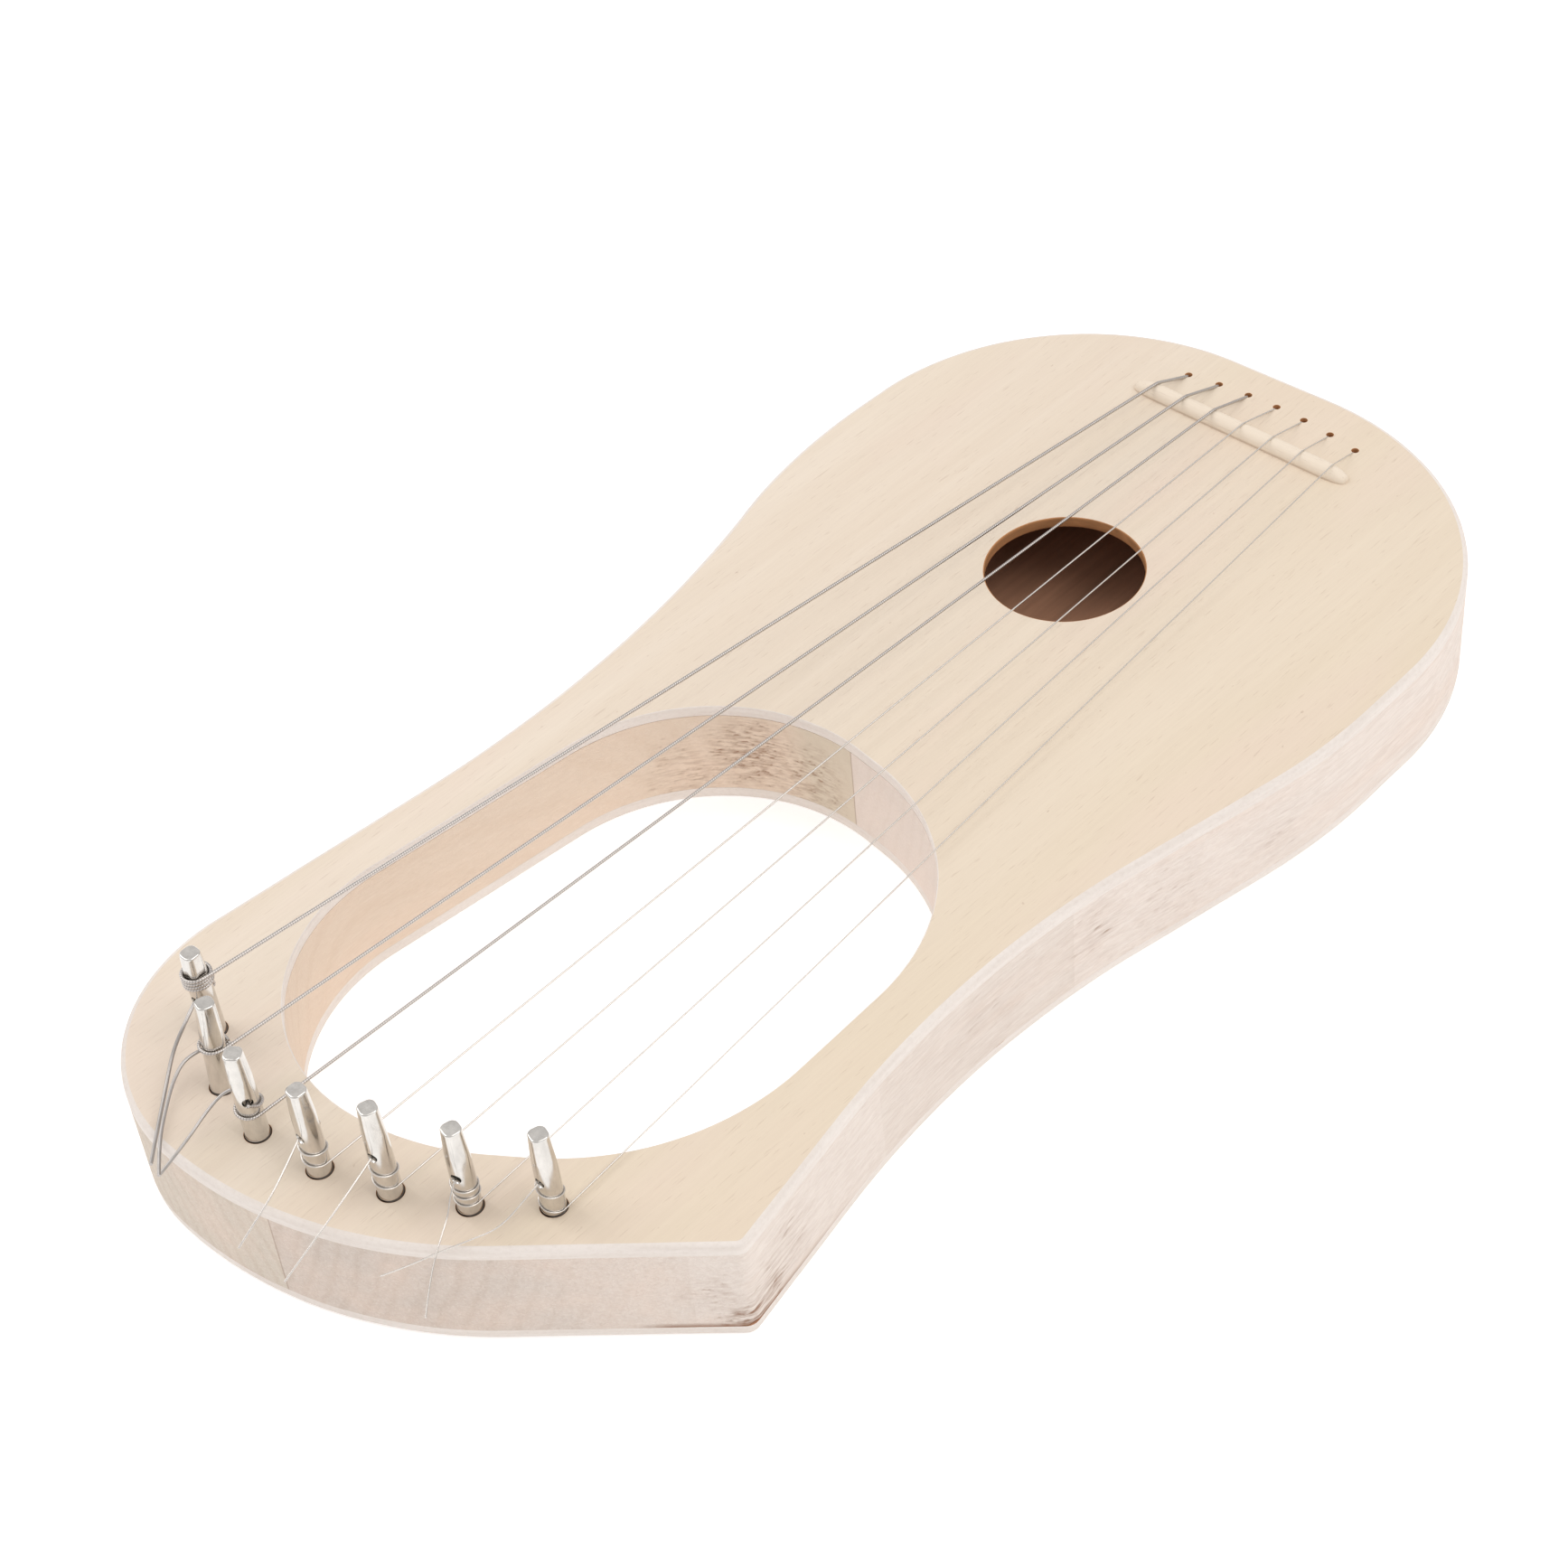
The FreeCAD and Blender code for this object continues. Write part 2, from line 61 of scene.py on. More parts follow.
def cad_box_mm(node):
    low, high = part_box(node)
    return mm(low), mm(high)


TOP = cad_box_mm("soundboard")[1].z
CORE_TOP = cad_box_mm("soundboard")[0].z
CORE_LOW = cad_box_mm("back_plate")[1].z

# ---- camera ----

LOOK_AT = Vector((-0.0035, -0.0148, TOP * MM))
AZIMUTH, ELEVATION, ROLL = 47.1, 43.45, -5.94
DISTANCE = 0.6812
LENS, SENSOR = 72.62, 36.0


def make_camera():
    data = bpy.data.cameras.new("camera")
    data.lens = LENS
    data.sensor_width = SENSOR
    data.clip_start = 0.01
    camera = bpy.data.objects.new("camera", data)
    bpy.context.scene.collection.objects.link(camera)
    tilt = math.radians(90 - ELEVATION)
    turn = (Matrix.Rotation(math.radians(AZIMUTH), 4, "Z") @ Matrix.Rotation(tilt, 4, "X")
            @ Matrix.Rotation(math.radians(ROLL), 4, "Z"))
    back = turn @ Vector((0, 0, DISTANCE))
    camera.matrix_world = Matrix.Translation(LOOK_AT + back) @ turn
    bpy.context.scene.camera = camera


make_camera()

# ---- node helpers ----


def feed(tree, node, inputs):
    """Links each input that is another node's socket, and sets a plain value on the node itself."""
    for name, value in inputs.items():
        socket = node.inputs[name]
        if isinstance(value, bpy.types.NodeSocket):
            tree.links.new(value, socket)
        else:
            socket.default_value = (*value, 1.0) if socket.type == "RGBA" else value
    return node


def add_node(tree, kind, inputs=None, **settings):
    made = tree.nodes.new(kind)
    for key, value in settings.items():
        setattr(made, key, value)
    return feed(tree, made, inputs or {})


def scaled_position(tree, per_metre):
    """The place on the object, stretched by a number for each axis."""
    place = add_node(tree, "ShaderNodeTexCoord").outputs["Object"]
    return add_node(tree, "ShaderNodeMapping", {"Vector": place, "Scale": per_metre}).outputs[0]


def noise_at(tree, per_metre, detail=3.0, roughness=0.55, distortion=0.0):
    made = add_node(tree, "ShaderNodeTexNoise",
                    {"Vector": scaled_position(tree, per_metre), "Scale": 1.0, "Detail": detail,
                     "Roughness": roughness, "Distortion": distortion})
    return made.outputs["Fac"]


def spread(tree, value, low, high, to_low=0.0, to_high=1.0):
    """Remaps a value between two limits, and holds it there."""
    made = add_node(tree, "ShaderNodeMapRange",
                    {"Value": value, "From Min": low, "From Max": high,
                     "To Min": to_low, "To Max": to_high})
    return made.outputs["Result"]


def math_node(tree, operation, first, second=0.0):
    made = add_node(tree, "ShaderNodeMath", {0: first, 1: second}, operation=operation)
    return made.outputs[0]


# The mix node keeps a set of sockets for each kind of data; these are the ones for colours.
MIX_SHARE, MIX_FIRST, MIX_SECOND, MIX_RESULT = 0, 6, 7, 2


def mix_colour(tree, share, first, second):
    made = add_node(tree, "ShaderNodeMix", data_type="RGBA")
    feed(tree, made, {MIX_SHARE: share, MIX_FIRST: first, MIX_SECOND: second})
    return made.outputs[MIX_RESULT]


def attribute(tree, name):
    return add_node(tree, "ShaderNodeAttribute", attribute_name=name).outputs["Fac"]


def bump(tree, height, strength, distance, before=None):
    made = add_node(tree, "ShaderNodeBump",
                    {"Height": height, "Strength": strength, "Distance": distance})
    if before:
        tree.links.new(before, made.inputs["Normal"])
    return made.outputs["Normal"]


def new_material(name):
    material = bpy.data.materials.new(name)
    material.use_nodes = True
    tree = material.node_tree
    return material, tree, tree.nodes["Principled BSDF"]


# ---- wood ----

# Linear colours of the bare wood.
PALE = (0.80, 0.695, 0.58)
CREAM = (0.82, 0.72, 0.605)
TAN = (0.76, 0.645, 0.52)
PINK = (0.80, 0.65, 0.555)
YELLOW = (0.765, 0.65, 0.50)
# Dark brown of torn grain, fibres, pores and glue lines; along the bridge's foot the same brown is
# painted shade.
BROWN_MARKS_AND_SHADE = (0.26, 0.125, 0.065)
SAPWOOD = (0.81, 0.725, 0.66)
HEARTWOOD = (0.62, 0.575, 0.46)
BRIDGE_PALE = (0.89, 0.785, 0.65)
CUT_FIBRES = (0.90, 0.85, 0.80)

# Where the core's staves are glued edge to edge, across the body.
GLUE_LINES = {"left": -69.3, "middle": -1.0, "right": 67.7}


def face_wood(name, grain="Y", warm=1.0):
    """Sanded face grain along one axis: soft streaks, faint pink and yellow clouds, fine pores.
    Along Y it yellows towards the right; along X, the bridge's, its foot is darkened with painted shade."""
    material, tree, shader = new_material(name)

    def along(across, length):
        return (across, length, across) if grain == "Y" else (length, across, across)

    streak = noise_at(tree, along(70.0, 3.0), 6.0, 0.6, 0.6)
    base = mix_colour(tree, spread(tree, streak, 0.36, 0.64), TAN, CREAM)
    base = mix_colour(tree, 0.45, base, PALE)
    if grain == "Y":
        place = add_node(tree, "ShaderNodeTexCoord").outputs["Object"]
        across = add_node(tree, "ShaderNodeSeparateXYZ", {"Vector": place}).outputs["X"]
        base = mix_colour(tree, spread(tree, across, -0.04, 0.06, 0.0, 0.6), base, YELLOW)
    else:
        base = mix_colour(tree, 0.5, base, BRIDGE_PALE)
    pink = spread(tree, noise_at(tree, along(26.0, 7.0), 3.0), 0.50, 0.72, 0.0, 0.55 * warm)
    base = mix_colour(tree, pink, base, PINK)
    yellow = spread(tree, noise_at(tree, along(21.0, 5.0), 2.0, 0.5, 0.4), 0.50, 0.75, 0.0, 0.6)
    base = mix_colour(tree, yellow, base, YELLOW)
    fibre = noise_at(tree, along(1900.0, 45.0), 3.0, 0.6)
    base = mix_colour(tree, spread(tree, fibre, 0.35, 0.70, 0.05, 0.0), base, BROWN_MARKS_AND_SHADE)
    pores = noise_at(tree, along(3200.0, 190.0), 1.0)
    base = mix_colour(tree, spread(tree, pores, 0.66, 0.74, 0.0, 0.16), base, BROWN_MARKS_AND_SHADE)
    specks = noise_at(tree, along(900.0, 450.0), 1.0)
    base = mix_colour(tree, spread(tree, specks, 0.78, 0.82, 0.0, 0.22), base, BROWN_MARKS_AND_SHADE)
    if grain == "X":
        # Painted shade along the bridge's foot, where its sides meet the board.
        base = mix_colour(tree, attribute(tree, "torn"), base, BROWN_MARKS_AND_SHADE)
    rough = spread(tree, fibre, 0.3, 0.7, 0.52, 0.66)
    relief = bump(tree, pores, 0.15, 0.0001, bump(tree, fibre, 0.25, 0.00012))
    feed(tree, shader, {"Base Color": base, "Roughness": rough, "Specular IOR Level": 0.32,
                        "Normal": relief})
    return material


def sawn_wood(name, ring_tilt, tint, painted_light=None, heart=0.0):
    """Bare sawn core wood, in three dimensions: end grain where the cut crosses the fibres and
    long grain where it follows them.  The mesh says where the saw tore it and where painted
    light brightens the cut-out's wall, thin dark lines show where its staves are glued, and a
    brown line runs along the back plate from the corner."""
    material, tree, shader = new_material(name)
    place = add_node(tree, "ShaderNodeTexCoord").outputs["Object"]
    turned = add_node(tree, "ShaderNodeMapping",
                      {"Vector": place, "Rotation": (0.0, math.radians(ring_tilt), 0.0),
                       "Scale": (1.0, 0.05, 1.0)}).outputs[0]
    rings = add_node(tree, "ShaderNodeTexWave",
                     {"Vector": turned, "Scale": 78.0, "Distortion": 3.5, "Detail": 3.0,
                      "Detail Scale": 1.2}, bands_direction="X").outputs["Fac"]
    dark = (tint[0] * 0.95, tint[1] * 0.93, tint[2] * 0.915)
    base = mix_colour(tree, spread(tree, rings, 0.55, 1.0), tint, dark)
    parts = add_node(tree, "ShaderNodeSeparateXYZ", {"Vector": place})
    across = parts.outputs["X"]
    base = mix_colour(tree, spread(tree, across, 0.036, 0.062, 0.0, 0.7), base, SAPWOOD)
    cloud = noise_at(tree, (75.0, 9.0, 75.0), 4.0)
    base = mix_colour(tree, spread(tree, cloud, 0.42, 0.70, 0.0, 0.5), base, PINK)
    fuzz = noise_at(tree, (1300.0, 110.0, 1300.0), 3.0, 0.65, 0.8)
    base = mix_colour(tree, spread(tree, fuzz, 0.30, 0.62, 0.15, 0.0), base, BROWN_MARKS_AND_SHADE)
    cell = noise_at(tree, (2600.0, 260.0, 2600.0), 2.0, 0.6)
    base = mix_colour(tree, spread(tree, cell, 0.52, 0.72, 0.0, 0.25), base, CUT_FIBRES)
    # Painted light: the cut-out's wall is mixed towards a lighter colour.
    base = mix_colour(tree, attribute(tree, "painted_light"), base, painted_light or tint)
    if heart:
        wavering = math_node(tree, "ADD", across, spread(tree, cloud, 0.3, 0.7, -0.002, 0.002))
        band = math_node(tree, "MULTIPLY", spread(tree, wavering, -0.019, -0.013, 0.0, heart),
                         spread(tree, parts.outputs["Y"], -0.07, -0.03))
        base = mix_colour(tree, band, base, HEARTWOOD)
    gap = math_node(tree, "ABSOLUTE", math_node(tree, "SUBTRACT", across, GLUE_LINES["middle"] * MM))
    base = mix_colour(tree, spread(tree, gap, 0.00008, 0.00025, 0.42, 0.0), base, BROWN_MARKS_AND_SHADE)
    near_corner = math_node(tree, "MULTIPLY", spread(tree, across, 0.058, 0.064),
                            spread(tree, parts.outputs["Y"], -0.108, -0.072, 0.85, 0.0))
    squeezed = math_node(tree, "MULTIPLY", near_corner,
                         spread(tree, parts.outputs["Z"], 0.0029, 0.0042, 1.0, 0.0))
    base = mix_colour(tree, squeezed, base, BROWN_MARKS_AND_SHADE)
    strands = add_node(tree, "ShaderNodeMapping",
                       {"Vector": place, "Rotation": (0.0, math.radians(35.0), 0.0),
                        "Scale": (380.0, 120.0, 1500.0)}).outputs[0]
    strand = add_node(tree, "ShaderNodeTexNoise",
                      {"Vector": strands, "Scale": 1.0, "Detail": 3.0}).outputs["Fac"]
    stained = math_node(tree, "MULTIPLY", attribute(tree, "torn"), spread(tree, strand, 0.40, 0.62))
    base = mix_colour(tree, stained, base, BROWN_MARKS_AND_SHADE)
    relief = bump(tree, cell, 0.40, 0.0002, bump(tree, fuzz, 0.45, 0.0003))
    feed(tree, shader, {"Base Color": base, "Roughness": 0.82, "Specular IOR Level": 0.15,
                        "Normal": relief})
    return material


def rim_wood(name):
    """The sanded edge of the thin plates: pale, with the faint lines of its layers."""
    material, tree, shader = new_material(name)
    layer = noise_at(tree, (50.0, 50.0, 900.0), 2.0, 0.5, 0.2)
    base = mix_colour(tree, spread(tree, layer, 0.38, 0.62), (0.78, 0.71, 0.655), (0.82, 0.755, 0.705))
    fuzz = noise_at(tree, (900.0, 900.0, 1600.0), 3.0, 0.65)
    base = mix_colour(tree, spread(tree, fuzz, 0.28, 0.55, 0.08, 0.0), base, BROWN_MARKS_AND_SHADE)
    feed(tree, shader, {"Base Color": base, "Roughness": 0.7, "Specular IOR Level": 0.25,
                        "Normal": bump(tree, fuzz, 0.3, 0.00015)})
    return material


def dark_wood(name, tone):
    """Unlit, unsanded wood inside the body and round the sound hole."""
    material, tree, shader = new_material(name)
    streak = noise_at(tree, (160.0, 12.0, 700.0), 4.0, 0.6, 0.3)
    deep = tuple(c * 0.72 for c in tone)
    base = mix_colour(tree, spread(tree, streak, 0.35, 0.65), deep, tone)
    feed(tree, shader, {"Base Color": base, "Roughness": 0.85, "Specular IOR Level": 0.15,
                        "Normal": bump(tree, streak, 0.3, 0.0003)})
    return material


# ---- metal ----


def metal(name, colour, roughness, wear_share=0.18, scratch=0.12):
    """Plated or drawn metal with fine wear."""
    material, tree, shader = new_material(name)
    wear = noise_at(tree, (420.0, 420.0, 160.0), 4.0, 0.65)
    deep = tuple(c * (1 - wear_share) for c in colour)
    base = mix_colour(tree, spread(tree, wear, 0.35, 0.65), deep, colour)
    rough = spread(tree, wear, 0.3, 0.7, roughness * (1 - wear_share), roughness * (1 + wear_share))
    lines = noise_at(tree, (900.0, 900.0, 110.0), 2.0)
    feed(tree, shader, {"Metallic": 1.0, "Base Color": base, "Roughness": rough,
                        "Normal": bump(tree, lines, scratch, 0.00004)})
    return material


# Each turn of the fine wire that a bass string is overspun with takes this much of its length.
OVERSPUN_PITCH = 0.00055


def wire_metal(name, colour, roughness, overspun=False):
    """Drawn wire; the grooves between an overspun string's turns show as slanting lines of painted
    shade.
    """
    material, tree, shader = new_material(name)
    uv = add_node(tree, "ShaderNodeUVMap", uv_map="along").outputs["UV"]
    parts = add_node(tree, "ShaderNodeSeparateXYZ", {"Vector": uv})
    turns = math_node(tree, "DIVIDE", parts.outputs["X"], OVERSPUN_PITCH)
    turns = math_node(tree, "ADD", turns, parts.outputs["Y"])
    wave = math_node(tree, "SINE", math_node(tree, "MULTIPLY", turns, 2 * math.pi))
    # Painted shade in the grooves between the wire's turns: strong on an overspun string, faint on a
    # plain one.
    share = spread(tree, wave, -1.0, -0.2, 0.55 if overspun else 0.04, 0.0)
    deep = tuple(c * 0.3 for c in colour)
    base = mix_colour(tree, share, colour, deep)
    feed(tree, shader, {"Metallic": 1.0, "Base Color": base, "Roughness": roughness})
    if overspun:
        feed(tree, shader, {"Normal": bump(tree, wave, 0.35, 0.00005)})
    return material


WOODS = {
    "face": face_wood("face_wood"),
    "bridge": face_wood("bridge_wood", grain="X", warm=0.2),
    "rim": rim_wood("rim_wood"),
    "hole": dark_wood("hole_wood", (0.56, 0.27, 0.12)),
    "inside": dark_wood("inside_wood", (0.60, 0.32, 0.20)),
    # The staves, which make the body's front, are tinted darker than the flanks and the corner piece:
    # partly each piece's own tone, partly painted shade and light for how each face turns to the lamps.
    # The staves' second colour is the painted light on the cut-out's wall.
    "core_stave_left": sawn_wood("core_left_wood", 20.0, (0.69, 0.615, 0.53), (0.85, 0.667, 0.52), 0.45),
    "core_stave_right": sawn_wood("core_right_wood", -18.0, (0.665, 0.583, 0.52), (0.89, 0.78, 0.71)),
    "core_flank_left": sawn_wood("flank_left_wood", 82.0, (0.78, 0.69, 0.61)),
    "core_flank_right": sawn_wood("flank_right_wood", 97.0, (0.82, 0.735, 0.68)),
    "core_corner_right": sawn_wood("corner_wood", 75.0, (0.76, 0.685, 0.63)),
}
METALS = {
    "pin": metal("pin_nickel", (0.76, 0.735, 0.70), 0.14),
    # The thread is coloured near black as painted shade for the dark ring where the pin goes into the
    # board.
    "thread": metal("pin_thread", (0.20, 0.185, 0.17), 0.38, 0.3, 0.3),
    "plain": wire_metal("plain_wire", (0.72, 0.68, 0.64), 0.26),
    "wound": wire_metal("wound_wire", (0.60, 0.56, 0.53), 0.28, overspun=True),
    "wound_end": metal("wound_wire_end", (0.50, 0.47, 0.45), 0.33, 0.1, 0.05),
    "brass": metal("ball_brass", (0.78, 0.57, 0.25), 0.28),
}

# ---- meshes ----

# Edges that turn by more than this many degrees stay sharp.
WOOD_SHARP, BRIDGE_SHARP, PIN_SHARP, WIRE_SHARP, BALL_SHARP = 35.0, 60.0, 28.0, 50.0, 50.0


def link(obj):
    bpy.context.scene.collection.objects.link(obj)
    return obj


class Shell:
    """Collects the points and faces of one closed piece, in millimetres."""

    def __init__(self):
        self.points, self.faces, self.slots, self.torn, self.painted_light = [], [], [], [], []

    def add_points(self, points, torn=None, painted_light=0.0):
        first = len(self.points)
        self.points.extend(tuple(p) for p in points)
        self.torn.extend(torn if torn is not None else [0.0] * len(points))
        self.painted_light.extend([painted_light] * len(points))
        return list(range(first, len(self.points)))

    def add_strip(self, ring, next_ring, slot):
        count = len(ring)
        for i in range(count):
            j = (i + 1) % count
            self.faces.append((ring[i], ring[j], next_ring[j], next_ring[i]))
            self.slots.append(slot)

    def add_cap(self, rings, slot):
        """Fills the flat area between an outer ring and the holes inside it."""
        loops = [[Vector(self.points[i]) for i in ring] for ring in rings]
        flat = [i for ring in rings for i in ring]
        for corners in tessellate_polygon(loops):
            self.faces.append(tuple(flat[c] for c in corners))
            self.slots.append(slot)

    def make(self, name, materials, sharp=WOOD_SHARP):
        mesh = bpy.data.meshes.new(name)
        mesh.from_pydata([(x * MM, y * MM, z * MM) for x, y, z in self.points], [], self.faces)
        mesh.polygons.foreach_set("material_index", self.slots)
        # The first share marks torn grain on the core, and painted shade along the bridge's foot.
        # The second share is painted light on the cut-out's wall.
        for name_of, values in (("torn", self.torn), ("painted_light", self.painted_light)):
            mesh.attributes.new(name_of, "FLOAT", "POINT").data.foreach_set("value", values)
        for material in materials:
            mesh.materials.append(material)
        tidy_normals(mesh, sharp)
        return link(bpy.data.objects.new(name, mesh))


def tidy_normals(mesh, sharp):
    work = bmesh.new()
    work.from_mesh(mesh)
    bmesh.ops.recalc_face_normals(work, faces=work.faces[:])
    work.to_mesh(mesh)
    work.free()
    mesh.polygons.foreach_set("use_smooth", [True] * len(mesh.polygons))
    mesh.set_sharp_from_angle(angle=math.radians(sharp))


def rounded_outline(corners, step):
    """Evenly spaced points along a polygon whose corners are rounded: (across, along, radius)."""
    dense = []
    for index, (across, along, radius) in enumerate(corners):
        here = np.array((across, along))
        back = np.array(corners[index - 1][:2]) - here
        ahead = np.array(corners[(index + 1) % len(corners)][:2]) - here
        back /= np.linalg.norm(back)
        ahead /= np.linalg.norm(ahead)
        half = math.acos(back @ ahead) / 2
        inward = (back + ahead) / np.linalg.norm(back + ahead)
        centre = here + inward * radius / math.sin(half)
        first = here + back * radius / math.tan(half) - centre
        last = here + ahead * radius / math.tan(half) - centre
        start = math.atan2(first[1], first[0])
        sweep = (math.atan2(last[1], last[0]) - start + math.pi) % (2 * math.pi) - math.pi
        angles = start + sweep * np.linspace(0, 1, 200)
        dense.extend(centre + radius * np.c_[np.cos(angles), np.sin(angles)])
    dense = np.array(dense + dense[:1])
    reach = np.r_[0, np.cumsum(np.linalg.norm(np.diff(dense, axis=0), axis=1))]
    stations = np.linspace(0, reach[-1], max(12, int(reach[-1] / step)), endpoint=False)
    return np.c_[np.interp(stations, reach, dense[:, 0]), np.interp(stations, reach, dense[:, 1])]


def circle(centre, radius, count):
    angles = np.linspace(0, 2 * math.pi, count, endpoint=False)
    return np.c_[centre[0] + radius * np.cos(angles), centre[1] + radius * np.sin(angles)]


def sideways(loop):
    """For each point of a loop, the direction square to it that points out of the loop."""
    ahead = np.roll(loop, -1, axis=0) - np.roll(loop, 1, axis=0)
    ahead /= np.linalg.norm(ahead, axis=1)[:, None]
    x, y = loop[:, 0], loop[:, 1]
    area = np.sum(x * np.roll(y, -1) - np.roll(x, -1) * y)
    return np.c_[ahead[:, 1], -ahead[:, 0]] * np.sign(area)


# The same outlines as the frame's parts: corners across and along, and the radius of each.
BODY_OUTLINE = [(76.0, -111.1, 3.0), (61.4, -31.1, 234.0), (81.4, 65.7, 154.0),
                (79.9, 168.4, 70.0), (-79.4, 164.0, 63.5), (-81.7, 71.1, 152.0),
                (-58.9, -8.2, 303.0), (-74.3, -164.0, 42.0), (10.1, -168.5, 98.0)]
CUT_OUT_OUTLINE = [(-43.9, 9.9, 45.0), (52.1, -4.1, 52.5), (55.2, -104.3, 58.0),
                   (10.0, -134.9, 62.0), (-61.5, -143.9, 44.5)]
CAVITY_OUTLINE = [(-57.0, 22.0, 18.0), (57.0, 22.0, 18.0), (68.0, 84.0, 60.0),
                  (50.0, 134.0, 28.0), (-50.0, 132.0, 28.0), (-68.0, 84.0, 60.0)]
WALL_STEP = 0.55
CAVITY_STEP = 3.0
EDGE_ROUND = 1.2
HOLE_EDGE = 0.25
FINE_EDGE = 0.08
# How far the saw's waves push a wall in or out; only the core's walls are torn as well.
CORE_ROUGHNESS = 0.10
OUTER_EDGE_ROUGHNESS = 0.06
CUT_EDGE_ROUGHNESS = 0.05
SOUND_HOLE = (-1.7, 78.0)
SOUND_HOLE_RADIUS = 18.5
PIN_HOLE_RADIUS = 2.78
PIN_HOLE_MOUTH = 2.80
PIN_LENGTH = 40.0
PIN_HOLE_DEPTH = 41.0
TAIL_HOLE_RADIUS = 0.86
TAIL_HOLE_SIDES = 28
ANCHOR_RADIUS = 2.4
ANCHOR_SIDES = 36
ANCHOR_TOP = 4.2

body_loop = rounded_outline(BODY_OUTLINE, WALL_STEP)
cut_loop = rounded_outline(CUT_OUT_OUTLINE, WALL_STEP)
cavity_loop = rounded_outline(CAVITY_OUTLINE, CAVITY_STEP)

JOINTS = {joint["name"]: joint for joint in frame["joints"]}


def pin_foot(number):
    return mm(JOINTS["tune_%d" % number]["pos_m"])


def pin_up(number):
    return -Vector(JOINTS["tune_%d" % number]["axis"]).normalized()


def tail_hole(number):
    low, high = cad_box_mm("ball_end_%d" % number)
    return (low + high) / 2


# Where the saw tore the grain: across, along, height, how far it reaches, how badly.
TORN_PLACES = [
    (75.0, -110.0, 4.0, 9.0, 1.0), (69.0, -113.5, 13.0, 9.0, 0.55), (76.0, -104.0, 8.0, 10.0, 0.8),
    (73.5, -98.0, 13.0, 12.0, 0.5), (-14.0, 2.0, 10.0, 15.0, 0.7), (-26.0, -3.0, 14.0, 15.0, 0.85),
    (-38.0, -12.0, 9.0, 14.0, 0.6), (68.5, 2.0, 16.0, 12.0, 0.5), (72.5, 22.0, 13.0, 14.0, 0.4),
    (66.0, -30.0, 13.0, 16.0, 0.3), (78.5, 52.0, 12.0, 14.0, 0.3),
]


def tear(x, y, z):
    """How deep the torn grain is at a place, and how brown it looks."""
    reach = 0.0
    for across, along, height, far, badly in TORN_PLACES:
        gap = math.dist((x, y, z), (across, along, height)) / far
        if gap < 1:
            reach = max(reach, badly * (1 - gap * gap))
    if reach == 0.0:
        return 0.0, 0.0
    lengthways, crossways = x * 0.82 - z * 0.57, x * 0.57 + z * 0.82
    pit = noise.noise(Vector((lengthways * 0.35, y * 0.22, crossways * 1.7)))
    fine = noise.noise(Vector((lengthways * 0.9 + 7, y * 0.5, crossways * 2.6)))
    depth = max(0.0, pit * 0.8 + fine * 0.55 - 0.34 + 0.38 * reach) * reach
    return 0.7 * depth, min(0.9, 0.75 * reach * reach + 2.0 * depth)


def wall_points(loop, into, height, inset, rough):
    """One ring of a wall, pushed into the wood by inset, with the saw's unevenness."""
    out, torn = [], []
    for (x, y), (nx, ny) in zip(loop, into):
        push, brown = inset, 0.0
        if rough:
            push += rough * noise.noise(Vector((x * 0.07, y * 0.07, height * 0.05)))
            push += rough * 0.35 * noise.noise(Vector((x * 0.8, y * 0.8, height * 0.25)))
        if rough >= CORE_ROUGHNESS:
            depth, brown = tear(x, y, height)
            push += depth
        out.append((x + nx * push, y + ny * push, height))
        torn.append(brown)
    return out, torn


def add_wall(shell, loop, into, rings, slot, rough=0.0, painted_light=0.0):
    """A wall through (height, inset) rings; returns its first and last ring."""
    made = []
    for height, inset in rings:
        points, torn = wall_points(loop, into, height, inset, rough)
        made.append(shell.add_points(points, torn, painted_light))
    for ring, next_ring in zip(made, made[1:]):
        shell.add_strip(ring, next_ring, slot)
    return made[0], made[-1]


def eased_edge(flat_height, way, radius, steps=6):
    """Rings of a quarter round that ends on the flat face at flat_height."""
    rings = []
    for step in range(steps + 1):
        angle = math.radians(90 * step / steps)
        drop = radius * (1 - math.sin(angle))
        rings.append((flat_height - way * drop, radius * (1 - math.cos(angle))))
    return rings


# The material slots of a plate: its show face, its sawn edge, its bored holes, its hidden face.
FACE, RIM, BORE, HIDDEN = 0, 1, 2, 3
BOARD_WOODS = [WOODS["face"], WOODS["rim"], WOODS["hole"], WOODS["inside"]]


def plate(name, low, high, outer_way, holes):
    """A thin plate: its outer edge is rounded at the top (way 1) or at the bottom (way -1).
    Each hole is a loop with its slot, its roughness and how far its edges are rounded."""
    shell = Shell()
    eased = eased_edge(high if outer_way > 0 else low, outer_way, EDGE_ROUND)
    rings = [(low, 0.0)] + eased if outer_way > 0 else eased[::-1] + [(high, 0.0)]
    loops = [add_wall(shell, body_loop, -sideways(body_loop), rings, RIM, OUTER_EDGE_ROUGHNESS)]
    for loop, slot, rough, edge in holes:
        top_edge = eased_edge(high, 1, edge, 3)
        low_edge = eased_edge(low, -1, edge, 3)[::-1]
        loops.append(add_wall(shell, loop, sideways(loop), low_edge + top_edge, slot, rough))
    shell.add_cap([ring[0] for ring in loops], FACE if outer_way < 0 else HIDDEN)
    shell.add_cap([ring[1] for ring in loops], FACE if outer_way > 0 else HIDDEN)
    return shell.make(name, BOARD_WOODS)


def ride_as(obj, body, node):
    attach(obj, body)
    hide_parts(node)
    return obj


